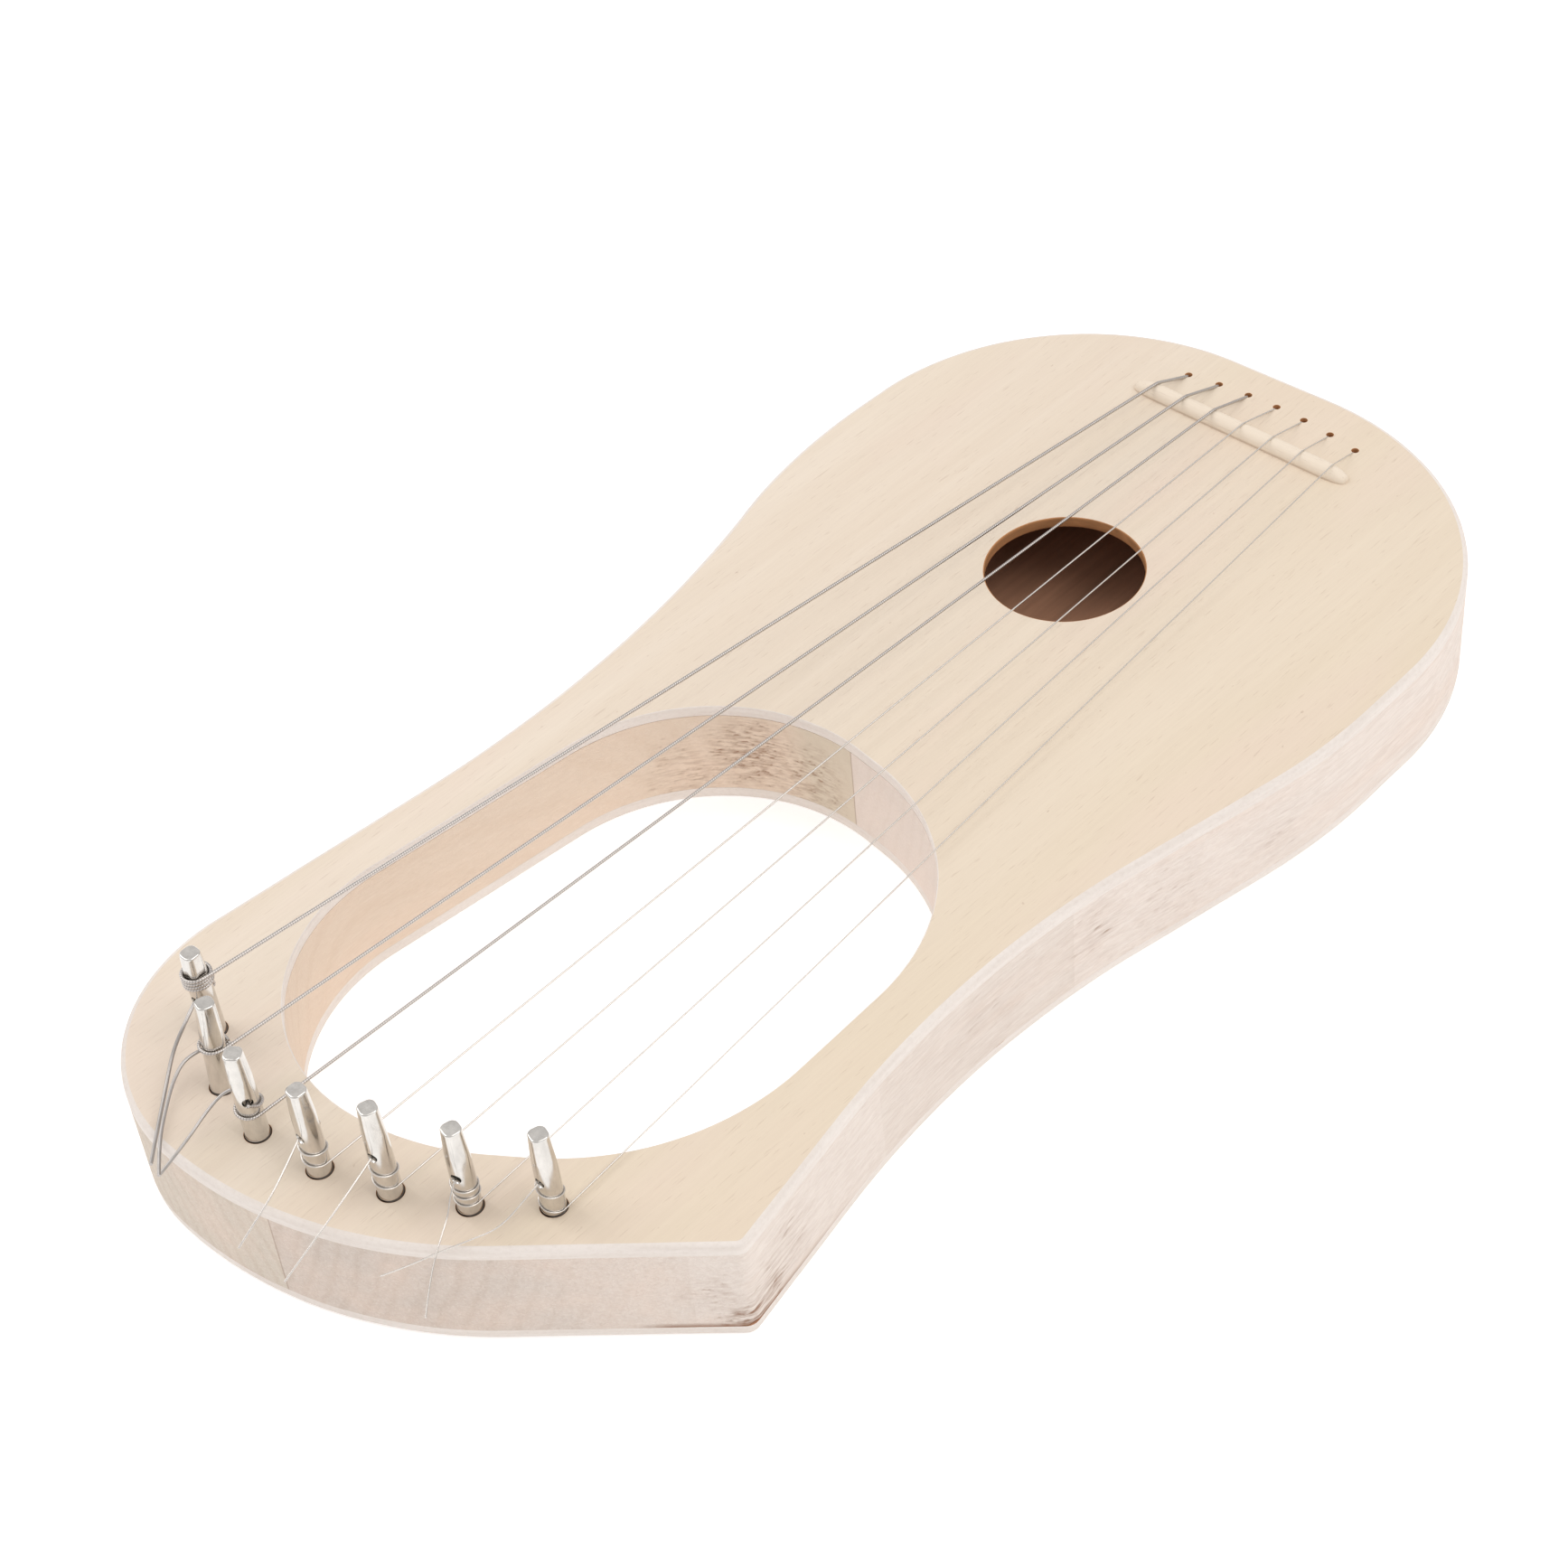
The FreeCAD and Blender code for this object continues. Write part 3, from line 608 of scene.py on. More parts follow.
cut_edge = (cut_loop, RIM, CUT_EDGE_ROUGHNESS, HOLE_EDGE)
board_holes = [cut_edge, (circle(SOUND_HOLE, SOUND_HOLE_RADIUS, 160), BORE, 0.0, HOLE_EDGE)]
for n in STRINGS:
    board_holes.append((circle(pin_foot(n), PIN_HOLE_MOUTH, 40), BORE, 0.0, FINE_EDGE))
    board_holes.append((circle(tail_hole(n), TAIL_HOLE_RADIUS, TAIL_HOLE_SIDES), BORE, 0.0, FINE_EDGE))
soundboard = plate("soundboard_wood", CORE_TOP, TOP, 1, board_holes)
ride_as(soundboard, "root", "soundboard")

back_holes = [cut_edge]
for n in STRINGS:
    back_holes.append((circle(tail_hole(n), ANCHOR_RADIUS, ANCHOR_SIDES), BORE, 0.0, FINE_EDGE))
back_plate = plate("back_plate_wood", 0.0, CORE_LOW, -1, back_holes)
ride_as(back_plate, "root", "back_plate")


# ---- core ----

CORE_RINGS = 40
# How much painted light brightens the cut-out's wall, from 0 to 1.
PAINTED_LIGHT_SHARE = 0.55
# Along the body, where the flanks end and the corner piece begins.
SHOULDER_LINE = -60.0
# The core's material slots.
SAWN, INNER = 0, 1


def pocket(shell, centre, radius, mouth, end, lean, count=28):
    """A blind round hole; returns the ring at its mouth."""
    top = shell.add_points([(x, y, mouth) for x, y in circle(centre, radius, count)])
    bottom = shell.add_points([(x + lean.x, y + lean.y, end) for x, y in circle(centre, radius, count)])
    shell.add_strip(top, bottom, INNER)
    shell.add_cap([bottom], INNER)
    return top


def whole_core(materials):
    """The core in one piece, before it is parted at its glue lines."""
    shell = Shell()
    heights = [(CORE_LOW + (CORE_TOP - CORE_LOW) * i / CORE_RINGS, 0.0) for i in range(CORE_RINGS + 1)]
    outer = add_wall(shell, body_loop, -sideways(body_loop), heights, SAWN, CORE_ROUGHNESS)
    inner = add_wall(shell, cut_loop, sideways(cut_loop), heights, SAWN, CORE_ROUGHNESS, PAINTED_LIGHT_SHARE)
    hollow = add_wall(shell, cavity_loop, sideways(cavity_loop), [heights[0], heights[-1]], INNER)
    low_rings, top_rings = [outer[0], inner[0], hollow[0]], [outer[1], inner[1], hollow[1]]
    for n in STRINGS:
        foot, up = pin_foot(n), pin_up(n)
        pin_top = cad_box_mm("tuning_pin_%d" % n)[1].z
        end = pin_top - PIN_HOLE_DEPTH
        lean = up * ((end - CORE_TOP) / up.z)
        top_rings.append(pocket(shell, foot, PIN_HOLE_RADIUS, CORE_TOP, end, lean))
        hole = tail_hole(n)
        wide_mouth = circle(hole, ANCHOR_RADIUS, ANCHOR_SIDES)
        narrow = circle(hole, TAIL_HOLE_RADIUS, TAIL_HOLE_SIDES)
        mouth = shell.add_points([(x, y, CORE_LOW) for x, y in wide_mouth])
        roof = shell.add_points([(x, y, ANCHOR_TOP) for x, y in wide_mouth])
        lip = shell.add_points([(x, y, ANCHOR_TOP) for x, y in narrow])
        out = shell.add_points([(x, y, CORE_TOP) for x, y in narrow])
        shell.add_strip(mouth, roof, INNER)
        shell.add_cap([roof, lip], INNER)
        shell.add_strip(lip, out, INNER)
        low_rings.append(mouth)
        top_rings.append(out)
    shell.add_cap(low_rings, INNER)
    shell.add_cap(top_rings, INNER)
    return shell.make("core_blank", materials)


def part_at(work, place, normal):
    """Keeps what lies on the side of a plane that its normal points away from, and closes it."""
    geometry = work.verts[:] + work.edges[:] + work.faces[:]
    cut = bmesh.ops.bisect_plane(work, geom=geometry, plane_co=place, plane_no=normal,
                                 clear_outer=True)
    edges = [e for e in cut["geom_cut"] if isinstance(e, bmesh.types.BMEdge)]
    filled = bmesh.ops.triangle_fill(work, edges=edges, use_dissolve=False)
    for face in filled["geom"]:
        if isinstance(face, bmesh.types.BMFace):
            face.material_index = INNER


def core_piece(blank, node, planes):
    mesh = blank.data.copy()
    mesh.name = node
    work = bmesh.new()
    work.from_mesh(mesh)
    for place, normal in planes:
        part_at(work, Vector(place) * MM, Vector(normal))
    work.to_mesh(mesh)
    work.free()
    mesh.materials.clear()
    mesh.materials.append(WOODS[node])
    mesh.materials.append(WOODS["inside"])
    tidy_normals(mesh, WOOD_SHARP)
    piece = link(bpy.data.objects.new(node + "_wood", mesh))
    return ride_as(piece, "root", node)


def make_core():
    blank = whole_core([WOODS["inside"]])
    left, middle, right = (GLUE_LINES[side] for side in ("left", "middle", "right"))
    plus_x, minus_x, plus_y, minus_y = (1, 0, 0), (-1, 0, 0), (0, 1, 0), (0, -1, 0)
    shoulder = (0, SHOULDER_LINE, 0)
    core_piece(blank, "core_flank_left", [((left, 0, 0), plus_x), (shoulder, minus_y)])
    core_piece(blank, "core_flank_right", [((right, 0, 0), minus_x), (shoulder, minus_y)])
    core_piece(blank, "core_corner_right", [((right, 0, 0), minus_x), (shoulder, plus_y)])
    core_piece(blank, "core_stave_right", [((middle, 0, 0), minus_x), ((right, 0, 0), plus_x)])
    core_piece(blank, "core_stave_left", [((middle, 0, 0), plus_x), ((left, 0, 0), minus_x)])
    bpy.data.objects.remove(blank)


make_core()

# ---- bridge ----

BRIDGE_TAPER = 7.0
# The share of the bridge's full radius that is left at its tips.
BRIDGE_TIP = 0.36
# How dark the painted shade is along the bridge's foot.
BRIDGE_FOOT_SHADE = 0.30
BRIDGE_STATIONS, BRIDGE_ROUND_STEPS = 150, 28


def make_bridge():
    """A half-round rod with drawn-in ends, a little uneven from sanding."""
    low, high = cad_box_mm("bridge")
    middle = (low + high) / 2
    half_length, radius = (high.x - low.x) / 2, (high.y - low.y) / 2
    foot = high.z - low.z - radius
    shell = Shell()
    rings = []
    for i in range(BRIDGE_STATIONS + 1):
        x = -half_length + 2 * half_length * i / BRIDGE_STATIONS
        end_gap = min(1.0, (half_length - abs(x)) / BRIDGE_TAPER)
        size = radius * (BRIDGE_TIP + (1 - BRIDGE_TIP) * math.sqrt(1 - (1 - end_gap) ** 2))
        wobble = 1 + 0.02 * noise.noise(Vector((x * 0.12, 3.0, 1.0)))
        lift = foot * min(1.0, end_gap * 1.6)
        ring = [(middle.x + x, middle.y + size, low.z), (middle.x + x, middle.y + size, low.z + lift)]
        for k in range(1, BRIDGE_ROUND_STEPS):
            angle = math.pi * k / BRIDGE_ROUND_STEPS
            worn = 1 + 0.015 * noise.noise(Vector((x * 0.3, angle * 2, 5.0)))
            ring.append((middle.x + x, middle.y + size * math.cos(angle) * wobble,
                         low.z + lift + size * math.sin(angle) * worn))
        ring += [(middle.x + x, middle.y - size, low.z + lift), (middle.x + x, middle.y - size, low.z)]
        # Painted shade: the two lowest points on each side darken the rod's foot where it meets the
        # board.
        foot_shade = [BRIDGE_FOOT_SHADE] * 2 + [0.0] * (len(ring) - 4) + [BRIDGE_FOOT_SHADE] * 2
        rings.append(shell.add_points(ring, foot_shade))
    for ring, next_ring in zip(rings, rings[1:]):
        shell.add_strip(ring, next_ring, 0)
    shell.add_cap([rings[0]], 0)
    shell.add_cap([rings[-1]], 0)
    rod = shell.make("bridge_rod", [WOODS["bridge"]], BRIDGE_SHARP)
    return ride_as(rod, "root", "bridge")


make_bridge()

# ---- tuning pins ----

PIN_RADIUS = 2.5
THREAD_RADIUS = 2.70
THREAD_DEPTH = 0.2
THREAD_PITCH = 0.62
THREAD_ABOVE = 0.4
HEAD_TOP_WIDTH = 3.8
HEAD_TAPER = 14.0
HEAD_EDGE = 0.35
SOFT_EDGE = 0.08
ROUNDED_HEAD = 0.42
ROUNDED_OVER = 7.0
WIRE_HOLE_RADIUS = 1.05
WIRE_HOLE_BELOW_TOP = 12.4
CORNER_TO_FLAT = 45.0
AROUND_PIN = 96
# The pin's top edge is rounded in steps, and its flat top is drawn in by this share.
TOP_STEPS = 5
TOP_INSET = 0.93

# The free wire end that stands out of each pin's hole, in metres across and along, and in
# metres above the soundboard, from the mouth of the hole to the cut end.
TAGS = {
    1: [(-0.0448, -0.1427, 0.0107), (-0.0430, -0.1468, 0.0097), (-0.0424, -0.1516, 0.0056),
        (-0.0387, -0.1572, 0.0024), (-0.0329, -0.1640, 0.0016), (-0.0262, -0.1713, 0.0014)],
    2: [(-0.0335, -0.1501, 0.0110), (-0.0346, -0.1532, 0.0109), (-0.0325, -0.1582, 0.0101),
        (-0.0285, -0.1634, 0.0096), (-0.0229, -0.1699, 0.0090), (-0.0169, -0.1748, 0.0085)],
    3: [(-0.0193, -0.1510, 0.0116), (-0.0222, -0.1529, 0.0102), (-0.0227, -0.1575, 0.0086),
        (-0.0211, -0.1657, 0.0062), (-0.0212, -0.1725, 0.0034)],
    4: [(-0.0005, -0.1530, 0.0114), (0.0010, -0.1568, 0.0103), (0.0031, -0.1633, 0.0079),
        (0.0038, -0.1688, 0.0054), (0.0042, -0.1740, 0.0027)],
    5: [(0.0150, -0.1478, 0.0128), (0.0161, -0.1530, 0.0116), (0.0170, -0.1606, 0.0090),
        (0.0174, -0.1674, 0.0063), (0.0176, -0.1738, 0.0034)],
    6: [(0.0298, -0.1402, 0.0108), (0.0305, -0.1424, 0.0090), (0.0315, -0.1445, 0.0057),
        (0.0336, -0.1489, 0.0041), (0.0383, -0.1558, 0.0035), (0.0441, -0.1622, 0.0032)],
    7: [(0.0417, -0.1301, 0.0093), (0.0415, -0.1336, 0.0080), (0.0399, -0.1393, 0.0037),
        (0.0360, -0.1442, 0.0016), (0.0333, -0.1502, 0.0014), (0.0314, -0.1555, 0.0013),
        (0.0292, -0.1606, 0.0015)],
}

# For each string: its diameter, the height above the soundboard at which it meets its pin,
# the height at which its coil turns in to the wire hole, the coil's turns on the pin, and how
# late the coil climbs.
WIRES = {
    1: (0.80, 17.7, 14.7, 2.90, 1.0),
    2: (0.74, 12.1, 11.8, 0.0, 1.0),
    3: (0.68, 7.6, 10.6, 0.25, 2.0),
    4: (0.42, 3.4, 9.3, 0.90, 1.0),
    5: (0.38, 3.6, 10.1, 0.88, 1.0),
    6: (0.34, 2.8, 8.4, 1.86, 1.0),
    7: (0.30, 0.75, 8.4, 0.90, 1.0),
}

# The heading of one corner of each pin's squared head, in degrees from X.
CORNERS = {1: 315.0, 2: 300.0, 3: 350.0, 4: 310.0, 5: 297.0, 6: 302.0, 7: 297.0}


def pin_heading(number):
    """The direction, in degrees from X, in which the wire leaves its hole."""
    start = mm(TAGS[number][0])
    up = pin_up(number)
    axis = pin_foot(number) + up * (start.z / up.z)
    return math.degrees(math.atan2(start.y - axis.y, start.x - axis.x))


def pin_height(number):
    top = cad_box_mm("tuning_pin_%d" % number)[1].z
    return (top - TOP) / pin_up(number).z


def pin_turn(number):
    """Turns upright shapes to the way the pin stands, and sets them on its foot."""
    lean = Vector((0, 0, 1)).rotation_difference(pin_up(number)).to_matrix().to_4x4()
    return Matrix.Translation(pin_foot(number)) @ lean


def shaft_radius(angle, below_top, above_board):
    """How far a pin's surface is from its axis: round, squared at the head, threaded below."""
    if above_board < THREAD_ABOVE:
        turn = above_board / THREAD_PITCH - angle / (2 * math.pi)
        ridge = abs((turn % 1.0) - 0.5) * 2
        fade = min(1.0, (THREAD_ABOVE - above_board) / 0.3)
        return PIN_RADIUS + (THREAD_RADIUS - PIN_RADIUS) * fade - THREAD_DEPTH * ridge * fade
    half_width = (HEAD_TOP_WIDTH + (2 * PIN_RADIUS - HEAD_TOP_WIDTH) * below_top / HEAD_TAPER) / 2
    from_flat = (angle + math.pi / 4) % (math.pi / 2) - math.pi / 4
    square = half_width / math.cos(from_flat)
    rounded = PIN_RADIUS - ROUNDED_HEAD * max(0.0, 1 - below_top / ROUNDED_OVER)
    gap = (square - rounded) / SOFT_EDGE
    if abs(gap) > 30:
        return min(square, rounded)
    return rounded - SOFT_EDGE * math.log1p(math.exp(-gap)) if gap > 0 else (
        square - SOFT_EDGE * math.log1p(math.exp(gap)))


def pin_stations(height):
    """Heights above the board from the point of a pin to its top, closer where it has detail."""
    stations = [height - PIN_LENGTH, -4.0]
    stations += list(np.arange(-3.0, THREAD_ABOVE + 0.05, 0.1))
    stations += list(np.linspace(THREAD_ABOVE + 0.1, height - HEAD_TAPER - 2.0, 12))
    stations += list(np.linspace(height - HEAD_TAPER - 1.8, height - HEAD_EDGE, 60))
    return stations


def make_pin(number):
    shell = Shell()
    height = pin_height(number)
    flats = math.radians(CORNERS[number] - CORNER_TO_FLAT)
    angles = np.linspace(0, 2 * math.pi, AROUND_PIN, endpoint=False)
    rings = []
    for station in pin_stations(height):
        radii = [shaft_radius(a, height - station, station) for a in angles]
        rings.append([(r * math.cos(a + flats), r * math.sin(a + flats), station)
                      for a, r in zip(angles, radii)])
    edge = rings[-1]
    for step in range(1, TOP_STEPS + 1):
        angle = math.radians(90 / TOP_STEPS * step)
        drawn = HEAD_EDGE * (1 - math.cos(angle)) * 0.9
        rise = HEAD_EDGE * math.sin(angle)
        share = 1 - drawn / (HEAD_TOP_WIDTH / 2)
        rings.append([(x * share, y * share, z + rise) for x, y, z in edge])
    rings.append([(x * TOP_INSET, y * TOP_INSET, z) for x, y, z in rings[-1]])
    made = [shell.add_points(ring) for ring in rings]
    for ring, next_ring in zip(made, made[1:]):
        threaded = shell.points[next_ring[0]][2] < THREAD_ABOVE
        shell.add_strip(ring, next_ring, 1 if threaded else 0)
    shell.add_cap([made[0]], 1)
    shell.add_cap([made[-1]], 0)
    pin = shell.make("pin_%d" % number, [METALS["pin"], METALS["thread"]], PIN_SHARP)
    drill_wire_hole(pin, height - WIRE_HOLE_BELOW_TOP, math.radians(pin_heading(number)))
    pin.data.transform(Matrix.Scale(MM, 4) @ pin_turn(number) @ Matrix.Scale(1 / MM, 4))
    return ride_as(pin, "pin_%d" % number, "tuning_pin_%d" % number)


def drill_wire_hole(pin, height, heading):
    """Cuts the wire hole, with its worn rim, through an upright pin that stands at the origin."""
    worn = WIRE_HOLE_RADIUS + 0.15
    flared = WIRE_HOLE_RADIUS + 0.7
    profile = [(-3.2, flared), (-2.35, worn), (-1.9, WIRE_HOLE_RADIUS), (1.9, WIRE_HOLE_RADIUS),
               (2.35, worn), (3.2, flared)]
    shell = Shell()
    rings = []
    for out, radius in profile:
        rings.append(shell.add_points([(out, y, z + height) for y, z in circle((0, 0), radius, 40)]))
    for ring, next_ring in zip(rings, rings[1:]):
        shell.add_strip(ring, next_ring, 0)
    for end in (rings[0], rings[-1]):
        middle = shell.add_points([np.mean([shell.points[i] for i in end], axis=0)])[0]
        for i, j in zip(end, end[1:] + end[:1]):
            shell.faces.append((i, j, middle))
            shell.slots.append(0)
    drill = shell.make("wire_drill", [METALS["pin"]])
    drill.data.transform(Matrix.Rotation(heading, 4, "Z"))
    cut = pin.modifiers.new("wire_hole", "BOOLEAN")
    cut.operation = "DIFFERENCE"
    cut.solver = "EXACT"
    cut.object = drill
    evaluated = pin.evaluated_get(bpy.context.evaluated_depsgraph_get())
    drilled = bpy.data.meshes.new_from_object(evaluated)
    pin.modifiers.clear()
    pin.data = drilled
    drilled.set_sharp_from_angle(angle=math.radians(PIN_SHARP))
    bpy.data.objects.remove(drill)


for n in STRINGS:
    make_pin(n)

# ---- wires ----

BRIDGE_MIDDLE = (cad_box_mm("bridge")[0] + cad_box_mm("bridge")[1]) / 2
BRIDGE_TOP = cad_box_mm("bridge")[1].z
BRIDGE_RADIUS = (cad_box_mm("bridge")[1].y - cad_box_mm("bridge")[0].y) / 2
STRING_PITCH = 8.67
TURN_STEPS = 40
# The degrees that a string goes round its pin before its coil takes over, and how many degrees
# earlier the coil starts, inside the string.
ARRIVAL_TURN = 300.0
HIDDEN_LAP = 30.0
BALL_WIRE_RADIUS = 0.13


def wire_kind(number):
    return "wound" if number <= 3 else "plain"


def tube(name, points, radius, material, sides=12):
    """A round wire through a list of points, with the distance along it in its UV map."""
    points = [Vector(p) for p in points]
    mesh = bpy.data.meshes.new(name)
    ahead = [(b - a).normalized() for a, b in zip(points, points[1:])]
    ahead = [ahead[0]] + [(a + b).normalized() for a, b in zip(ahead, ahead[1:])] + [ahead[-1]]
    side = ahead[0].orthogonal().normalized()
    verts, walked, distance = [], [0.0], 0.0
    for index, (point, way) in enumerate(zip(points, ahead)):
        side = (side - way * side.dot(way)).normalized()
        other = way.cross(side)
        if index:
            distance += (point - points[index - 1]).length
            walked.append(distance)
        for k in range(sides):
            angle = 2 * math.pi * k / sides
            spot = point + (side * math.cos(angle) + other * math.sin(angle)) * radius
            verts.append(spot * MM)
    faces, uvs = [], []
    for i in range(len(points) - 1):
        for k in range(sides):
            j = (k + 1) % sides
            faces.append((i * sides + k, i * sides + j, (i + 1) * sides + j, (i + 1) * sides + k))
            low, high = walked[i] * MM, walked[i + 1] * MM
            uvs += [(low, k / sides), (low, (k + 1) / sides), (high, (k + 1) / sides), (high, k / sides)]
    last = (len(points) - 1) * sides
    for ring in (tuple(range(sides))[::-1], tuple(range(last, last + sides))):
        faces.append(ring)
        uvs += [(0.0, 0.0)] * sides
    mesh.from_pydata(verts, [], faces)
    layer = mesh.uv_layers.new(name="along")
    layer.data.foreach_set("uv", [c for uv in uvs for c in uv])
    mesh.materials.append(material)
    mesh.polygons.foreach_set("use_smooth", [True] * len(mesh.polygons))
    mesh.set_sharp_from_angle(angle=math.radians(WIRE_SHARP))
    return link(bpy.data.objects.new(name, mesh))


def straight(start, end, step=4.0):
    start, end = Vector(start), Vector(end)
    count = max(2, int((end - start).length / step))
    return [start.lerp(end, i / count) for i in range(count)]


def coil_point(number, degrees, height):
    """A place on the wire's path round its pin; degrees run clockwise from the X side."""
    diameter = WIRES[number][0]
    reach = PIN_RADIUS + diameter / 2 + 0.02
    angle = -math.radians(degrees)
    return pin_turn(number) @ Vector((reach * math.cos(angle), reach * math.sin(angle), height))


def start_angle(number):
    """Where on the pin the straight string touches, clockwise from the X side."""
    foot = pin_foot(number)
    over = Vector(((number - 4) * STRING_PITCH, BRIDGE_MIDDLE.y, 0))
    along = Vector((foot.x - over.x, foot.y - over.y)).normalized()
    return -math.degrees(math.atan2(along.x, -along.y))


def coil_height(number, degrees):
    """Height of the wire after so many degrees round the pin: close turns, a little uneven."""
    diameter, arrival, last, turns, late = WIRES[number]
    whole = ARRIVAL_TURN + 360.0 * turns
    share = min(1.0, max(0.0, degrees / whole)) ** late
    uneven = 0.15 * noise.noise(Vector((degrees / 130.0, number * 3.7, 0.0))) * (1 - share) * share * 4
    return arrival + (last - arrival) * share + uneven


def sounding_string(number):
    """From the ball end up the tail hole, over the bridge, to the pin and nearly round it."""
    diameter = WIRES[number][0]
    hole = tail_hole(number)
    radius = diameter / 2
    points = straight((hole.x, hole.y + 0.3, ANCHOR_TOP - 0.4), (hole.x, hole.y - 0.25, CORE_TOP))
    across = (number - 4) * STRING_PITCH
    reach = BRIDGE_RADIUS + radius
    centre = Vector((across, BRIDGE_MIDDLE.y, BRIDGE_TOP - BRIDGE_RADIUS))
    lip = Vector((hole.x, hole.y - TAIL_HOLE_RADIUS + radius * 0.6, TOP - 0.1))
    contact = start_angle(number)
    touch = coil_point(number, contact, coil_height(number, 0.0))
    rise = Vector((lip.y - centre.y, lip.z - centre.z))
    back_angle = math.atan2(rise.y, rise.x) + math.acos(reach / rise.length)
    run = Vector((touch.y - centre.y, touch.z - centre.z))
    front_angle = math.atan2(run.y, run.x) - math.acos(reach / run.length)
    if front_angle < 0:
        front_angle += 2 * math.pi
    over = []
    for i in range(9):
        angle = back_angle + (front_angle - back_angle) * i / 8
        over.append(centre + Vector((0, reach * math.cos(angle), reach * math.sin(angle))))
    points += [lip + Vector((0, 0.18, -0.75)), lip + Vector((0, 0.06, -0.28)), lip]
    points += [lip.lerp(over[0], share) for share in (0.04, 0.2, 0.5, 0.9)]
    points += over
    points += straight(over[-1].lerp(touch, 0.005), touch, 3.0)
    for i in range(int(TURN_STEPS * ARRIVAL_TURN / 360) + 1):
        degrees = 360.0 * i / TURN_STEPS
        points.append(coil_point(number, contact + degrees, coil_height(number, degrees)))
    string = tube("string_%d_wire" % number, points, radius, METALS[wire_kind(number)])
    return ride_as(string, "root", "string_%d" % number)


def coil(number):
    """The turns on the pin, and the bend by which the wire goes in through its hole."""
    diameter = WIRES[number][0]
    contact = start_angle(number)
    into_hole = -(pin_heading(number) + 180.0)
    whole = ARRIVAL_TURN + 360.0 * WIRES[number][3]
    missing = (into_hole - (contact + whole)) % 360.0
    if missing > 180.0:
        missing -= 360.0
    finish = whole + missing - 35.0
    begin = min(ARRIVAL_TURN, finish) - HIDDEN_LAP
    hole_height = pin_height(number) - WIRE_HOLE_BELOW_TOP
    last_height = coil_height(number, whole)
    points = []
    count = max(2, int((finish - begin) / 360.0 * TURN_STEPS))
    for i in range(count + 1):
        degrees = begin + (finish - begin) * i / count
        points.append(coil_point(number, contact + degrees, coil_height(number, degrees)))
    turn = pin_turn(number)
    mouth_angle = math.radians(pin_heading(number) + 180.0)
    outward = Vector((math.cos(mouth_angle), math.sin(mouth_angle), 0))
    corner = coil_point(number, contact + finish + 30.0, (last_height * 0.45 + hole_height * 0.55))
    bulge = turn @ (outward * (PIN_RADIUS + diameter * 0.9) + Vector((0, 0, hole_height)))
    inside = turn @ (outward * (PIN_RADIUS - 0.9) + Vector((0, 0, hole_height)))
    through = turn @ (-outward * (PIN_RADIUS - 0.2) + Vector((0, 0, hole_height)))
    points += smooth_run([points[-1], corner, bulge, inside, through], 9)[1:]
    points.append(mm(TAGS[number][0]) + Vector((0, 0, TOP)))
    piece = tube("string_%d_coil" % number, points, diameter / 2, METALS[wire_kind(number)])
    return ride_as(piece, "pin_%d" % number, "string_%d_winding" % number)


def smooth_run(points, steps):
    """A curve through a few points, for a wire that is bent round a corner."""
    padded = [points[0]] + list(points) + [points[-1]]
    out = []
    for a, b, c, d in zip(padded, padded[1:], padded[2:], padded[3:]):
        for i in range(steps):
            t = i / steps
            out.append(0.5 * ((2 * b) + (c - a) * t + (2 * a - 5 * b + 4 * c - d) * t * t
                              + (3 * b - a - 3 * c + d) * t ** 3))
    out.append(Vector(points[-1]))
    return out


def free_end(number):
    """The springy cut end of the wire."""
    diameter = WIRES[number][0]
    data = bpy.data.curves.new("string_%d_end" % number, "CURVE")
    data.dimensions = "3D"
    data.bevel_depth = diameter / 2 * MM
    data.bevel_resolution = 4
    data.resolution_u = 12
    data.use_fill_caps = True
    spline = data.splines.new("NURBS")
    points = [(x, y, z + TOP * MM) for x, y, z in TAGS[number]]
    spline.points.add(len(points) - 1)
    for control, place in zip(spline.points, points):
        control.co = (*place, 1.0)
    spline.order_u = 3
    spline.use_endpoint_u = True
    data.materials.append(METALS["wound_end" if number <= 3 else "plain"])
    wire = link(bpy.data.objects.new("string_%d_end" % number, data))
    ride_as(wire, "pin_%d" % number, "string_%d_tag" % number)


for n in STRINGS:
    free_end(n)
    sounding_string(n)
    coil(n)


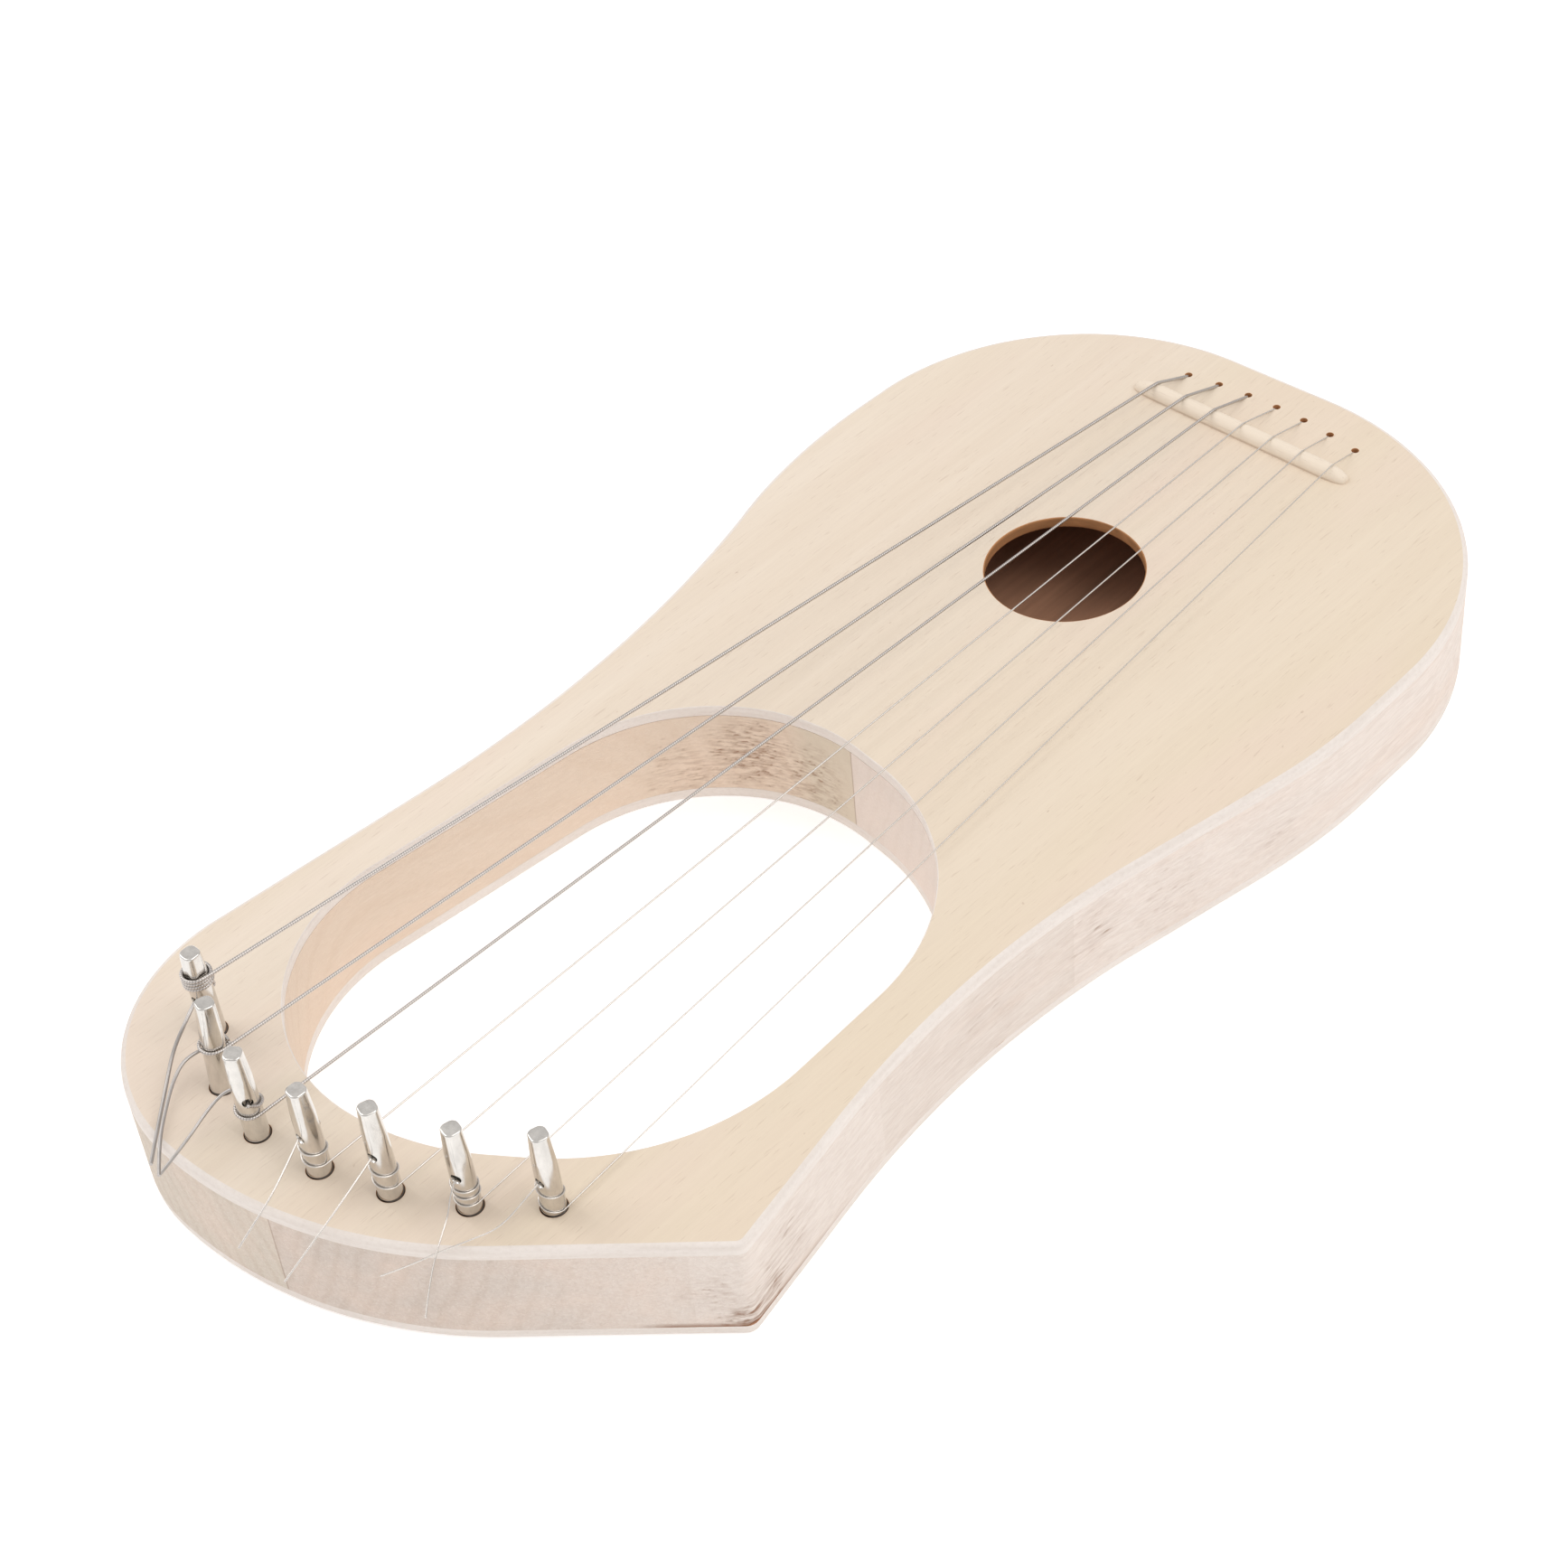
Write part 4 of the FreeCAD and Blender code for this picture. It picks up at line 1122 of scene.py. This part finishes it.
def ball_end(number):
    """The turned brass ball end, with the string's loop in its groove."""
    low, high = cad_box_mm("ball_end_%d" % number)
    middle, half = (low + high) / 2, (high.x - low.x) / 2
    radius = (high.z - low.z) / 2
    profile = [(-half, 0.55), (-half, radius - 0.25), (-half + 0.08, radius - 0.08),
               (-half + 0.25, radius), (-0.75, radius), (-0.5, radius - 0.28), (0.0, radius - 0.42),
               (0.5, radius - 0.28), (0.75, radius), (half - 0.25, radius),
               (half - 0.08, radius - 0.08), (half, radius - 0.25), (half, 0.55)]
    shell = Shell()
    rings = []
    for x, reach in profile:
        rings.append(shell.add_points([(middle.x + x, middle.y + a, middle.z + b)
                                       for a, b in circle((0, 0), reach, 48)]))
    for ring, next_ring in zip(rings, rings[1:] + rings[:1]):
        shell.add_strip(ring, next_ring, 0)
    piece = shell.make("ball_%d" % number, [METALS["brass"]], BALL_SHARP)
    ride_as(piece, "root", "ball_end_%d" % number)
    loop = []
    for i in range(33):
        angle = 2 * math.pi * i / 32 + math.pi / 2
        loop.append((middle.x, middle.y + (radius - 0.3) * math.cos(angle),
                     middle.z + (radius - 0.3) * math.sin(angle)))
    wire = tube("ball_%d_loop" % number, loop, BALL_WIRE_RADIUS, METALS["plain"], 8)
    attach(wire, "root")


for n in STRINGS:
    ball_end(n)

# ---- floor and light ----

FLOOR_HALF = 20.0
FLOOR_DROP = 0.0001


def make_floor():
    mesh = bpy.data.meshes.new("floor")
    half = FLOOR_HALF
    mesh.from_pydata([(-half, -half, 0), (half, -half, 0), (half, half, 0), (-half, half, 0)],
                     [], [(0, 1, 2, 3)])
    floor = link(bpy.data.objects.new("floor", mesh))
    floor.location.z = -FLOOR_DROP
    material, tree, shader = new_material("white_floor")
    feed(tree, shader, {"Base Color": (0.86, 0.86, 0.86), "Roughness": 0.9,
                        "Specular IOR Level": 0.0, "Emission Color": (1, 1, 1),
                        "Emission Strength": 0.35})
    mesh.materials.append(material)


def make_sky():
    """An even white studio, a little brighter overhead."""
    world = bpy.data.worlds.new("studio")
    bpy.context.scene.world = world
    world.use_nodes = True
    tree = world.node_tree
    background = tree.nodes["Background"]
    place = add_node(tree, "ShaderNodeTexCoord").outputs["Generated"]
    height = add_node(tree, "ShaderNodeSeparateXYZ", {"Vector": place}).outputs["Z"]
    share = spread(tree, height, 0.0, 0.9)
    colour = mix_colour(tree, share, (0.60, 0.595, 0.60), (0.80, 0.785, 0.775))
    feed(tree, background, {"Color": colour, "Strength": 1.0})


def area_light(name, place, size, power, tint=(1, 1, 1)):
    data = bpy.data.lights.new(name, "AREA")
    data.shape = "SQUARE"
    data.size = size
    data.energy = power
    data.color = tint
    light = link(bpy.data.objects.new(name, data))
    light.location = place
    light.rotation_euler = (LOOK_AT - Vector(place)).to_track_quat("-Z", "Y").to_euler()


make_floor()
make_sky()
area_light("key", (1.3, 0.5, 2.0), 1.8, 18.0, (1.0, 0.99, 0.97))
area_light("fill", (-1.2, -0.5, 1.4), 1.2, 8.5)
bpy.context.scene.view_settings.view_transform = "Standard"
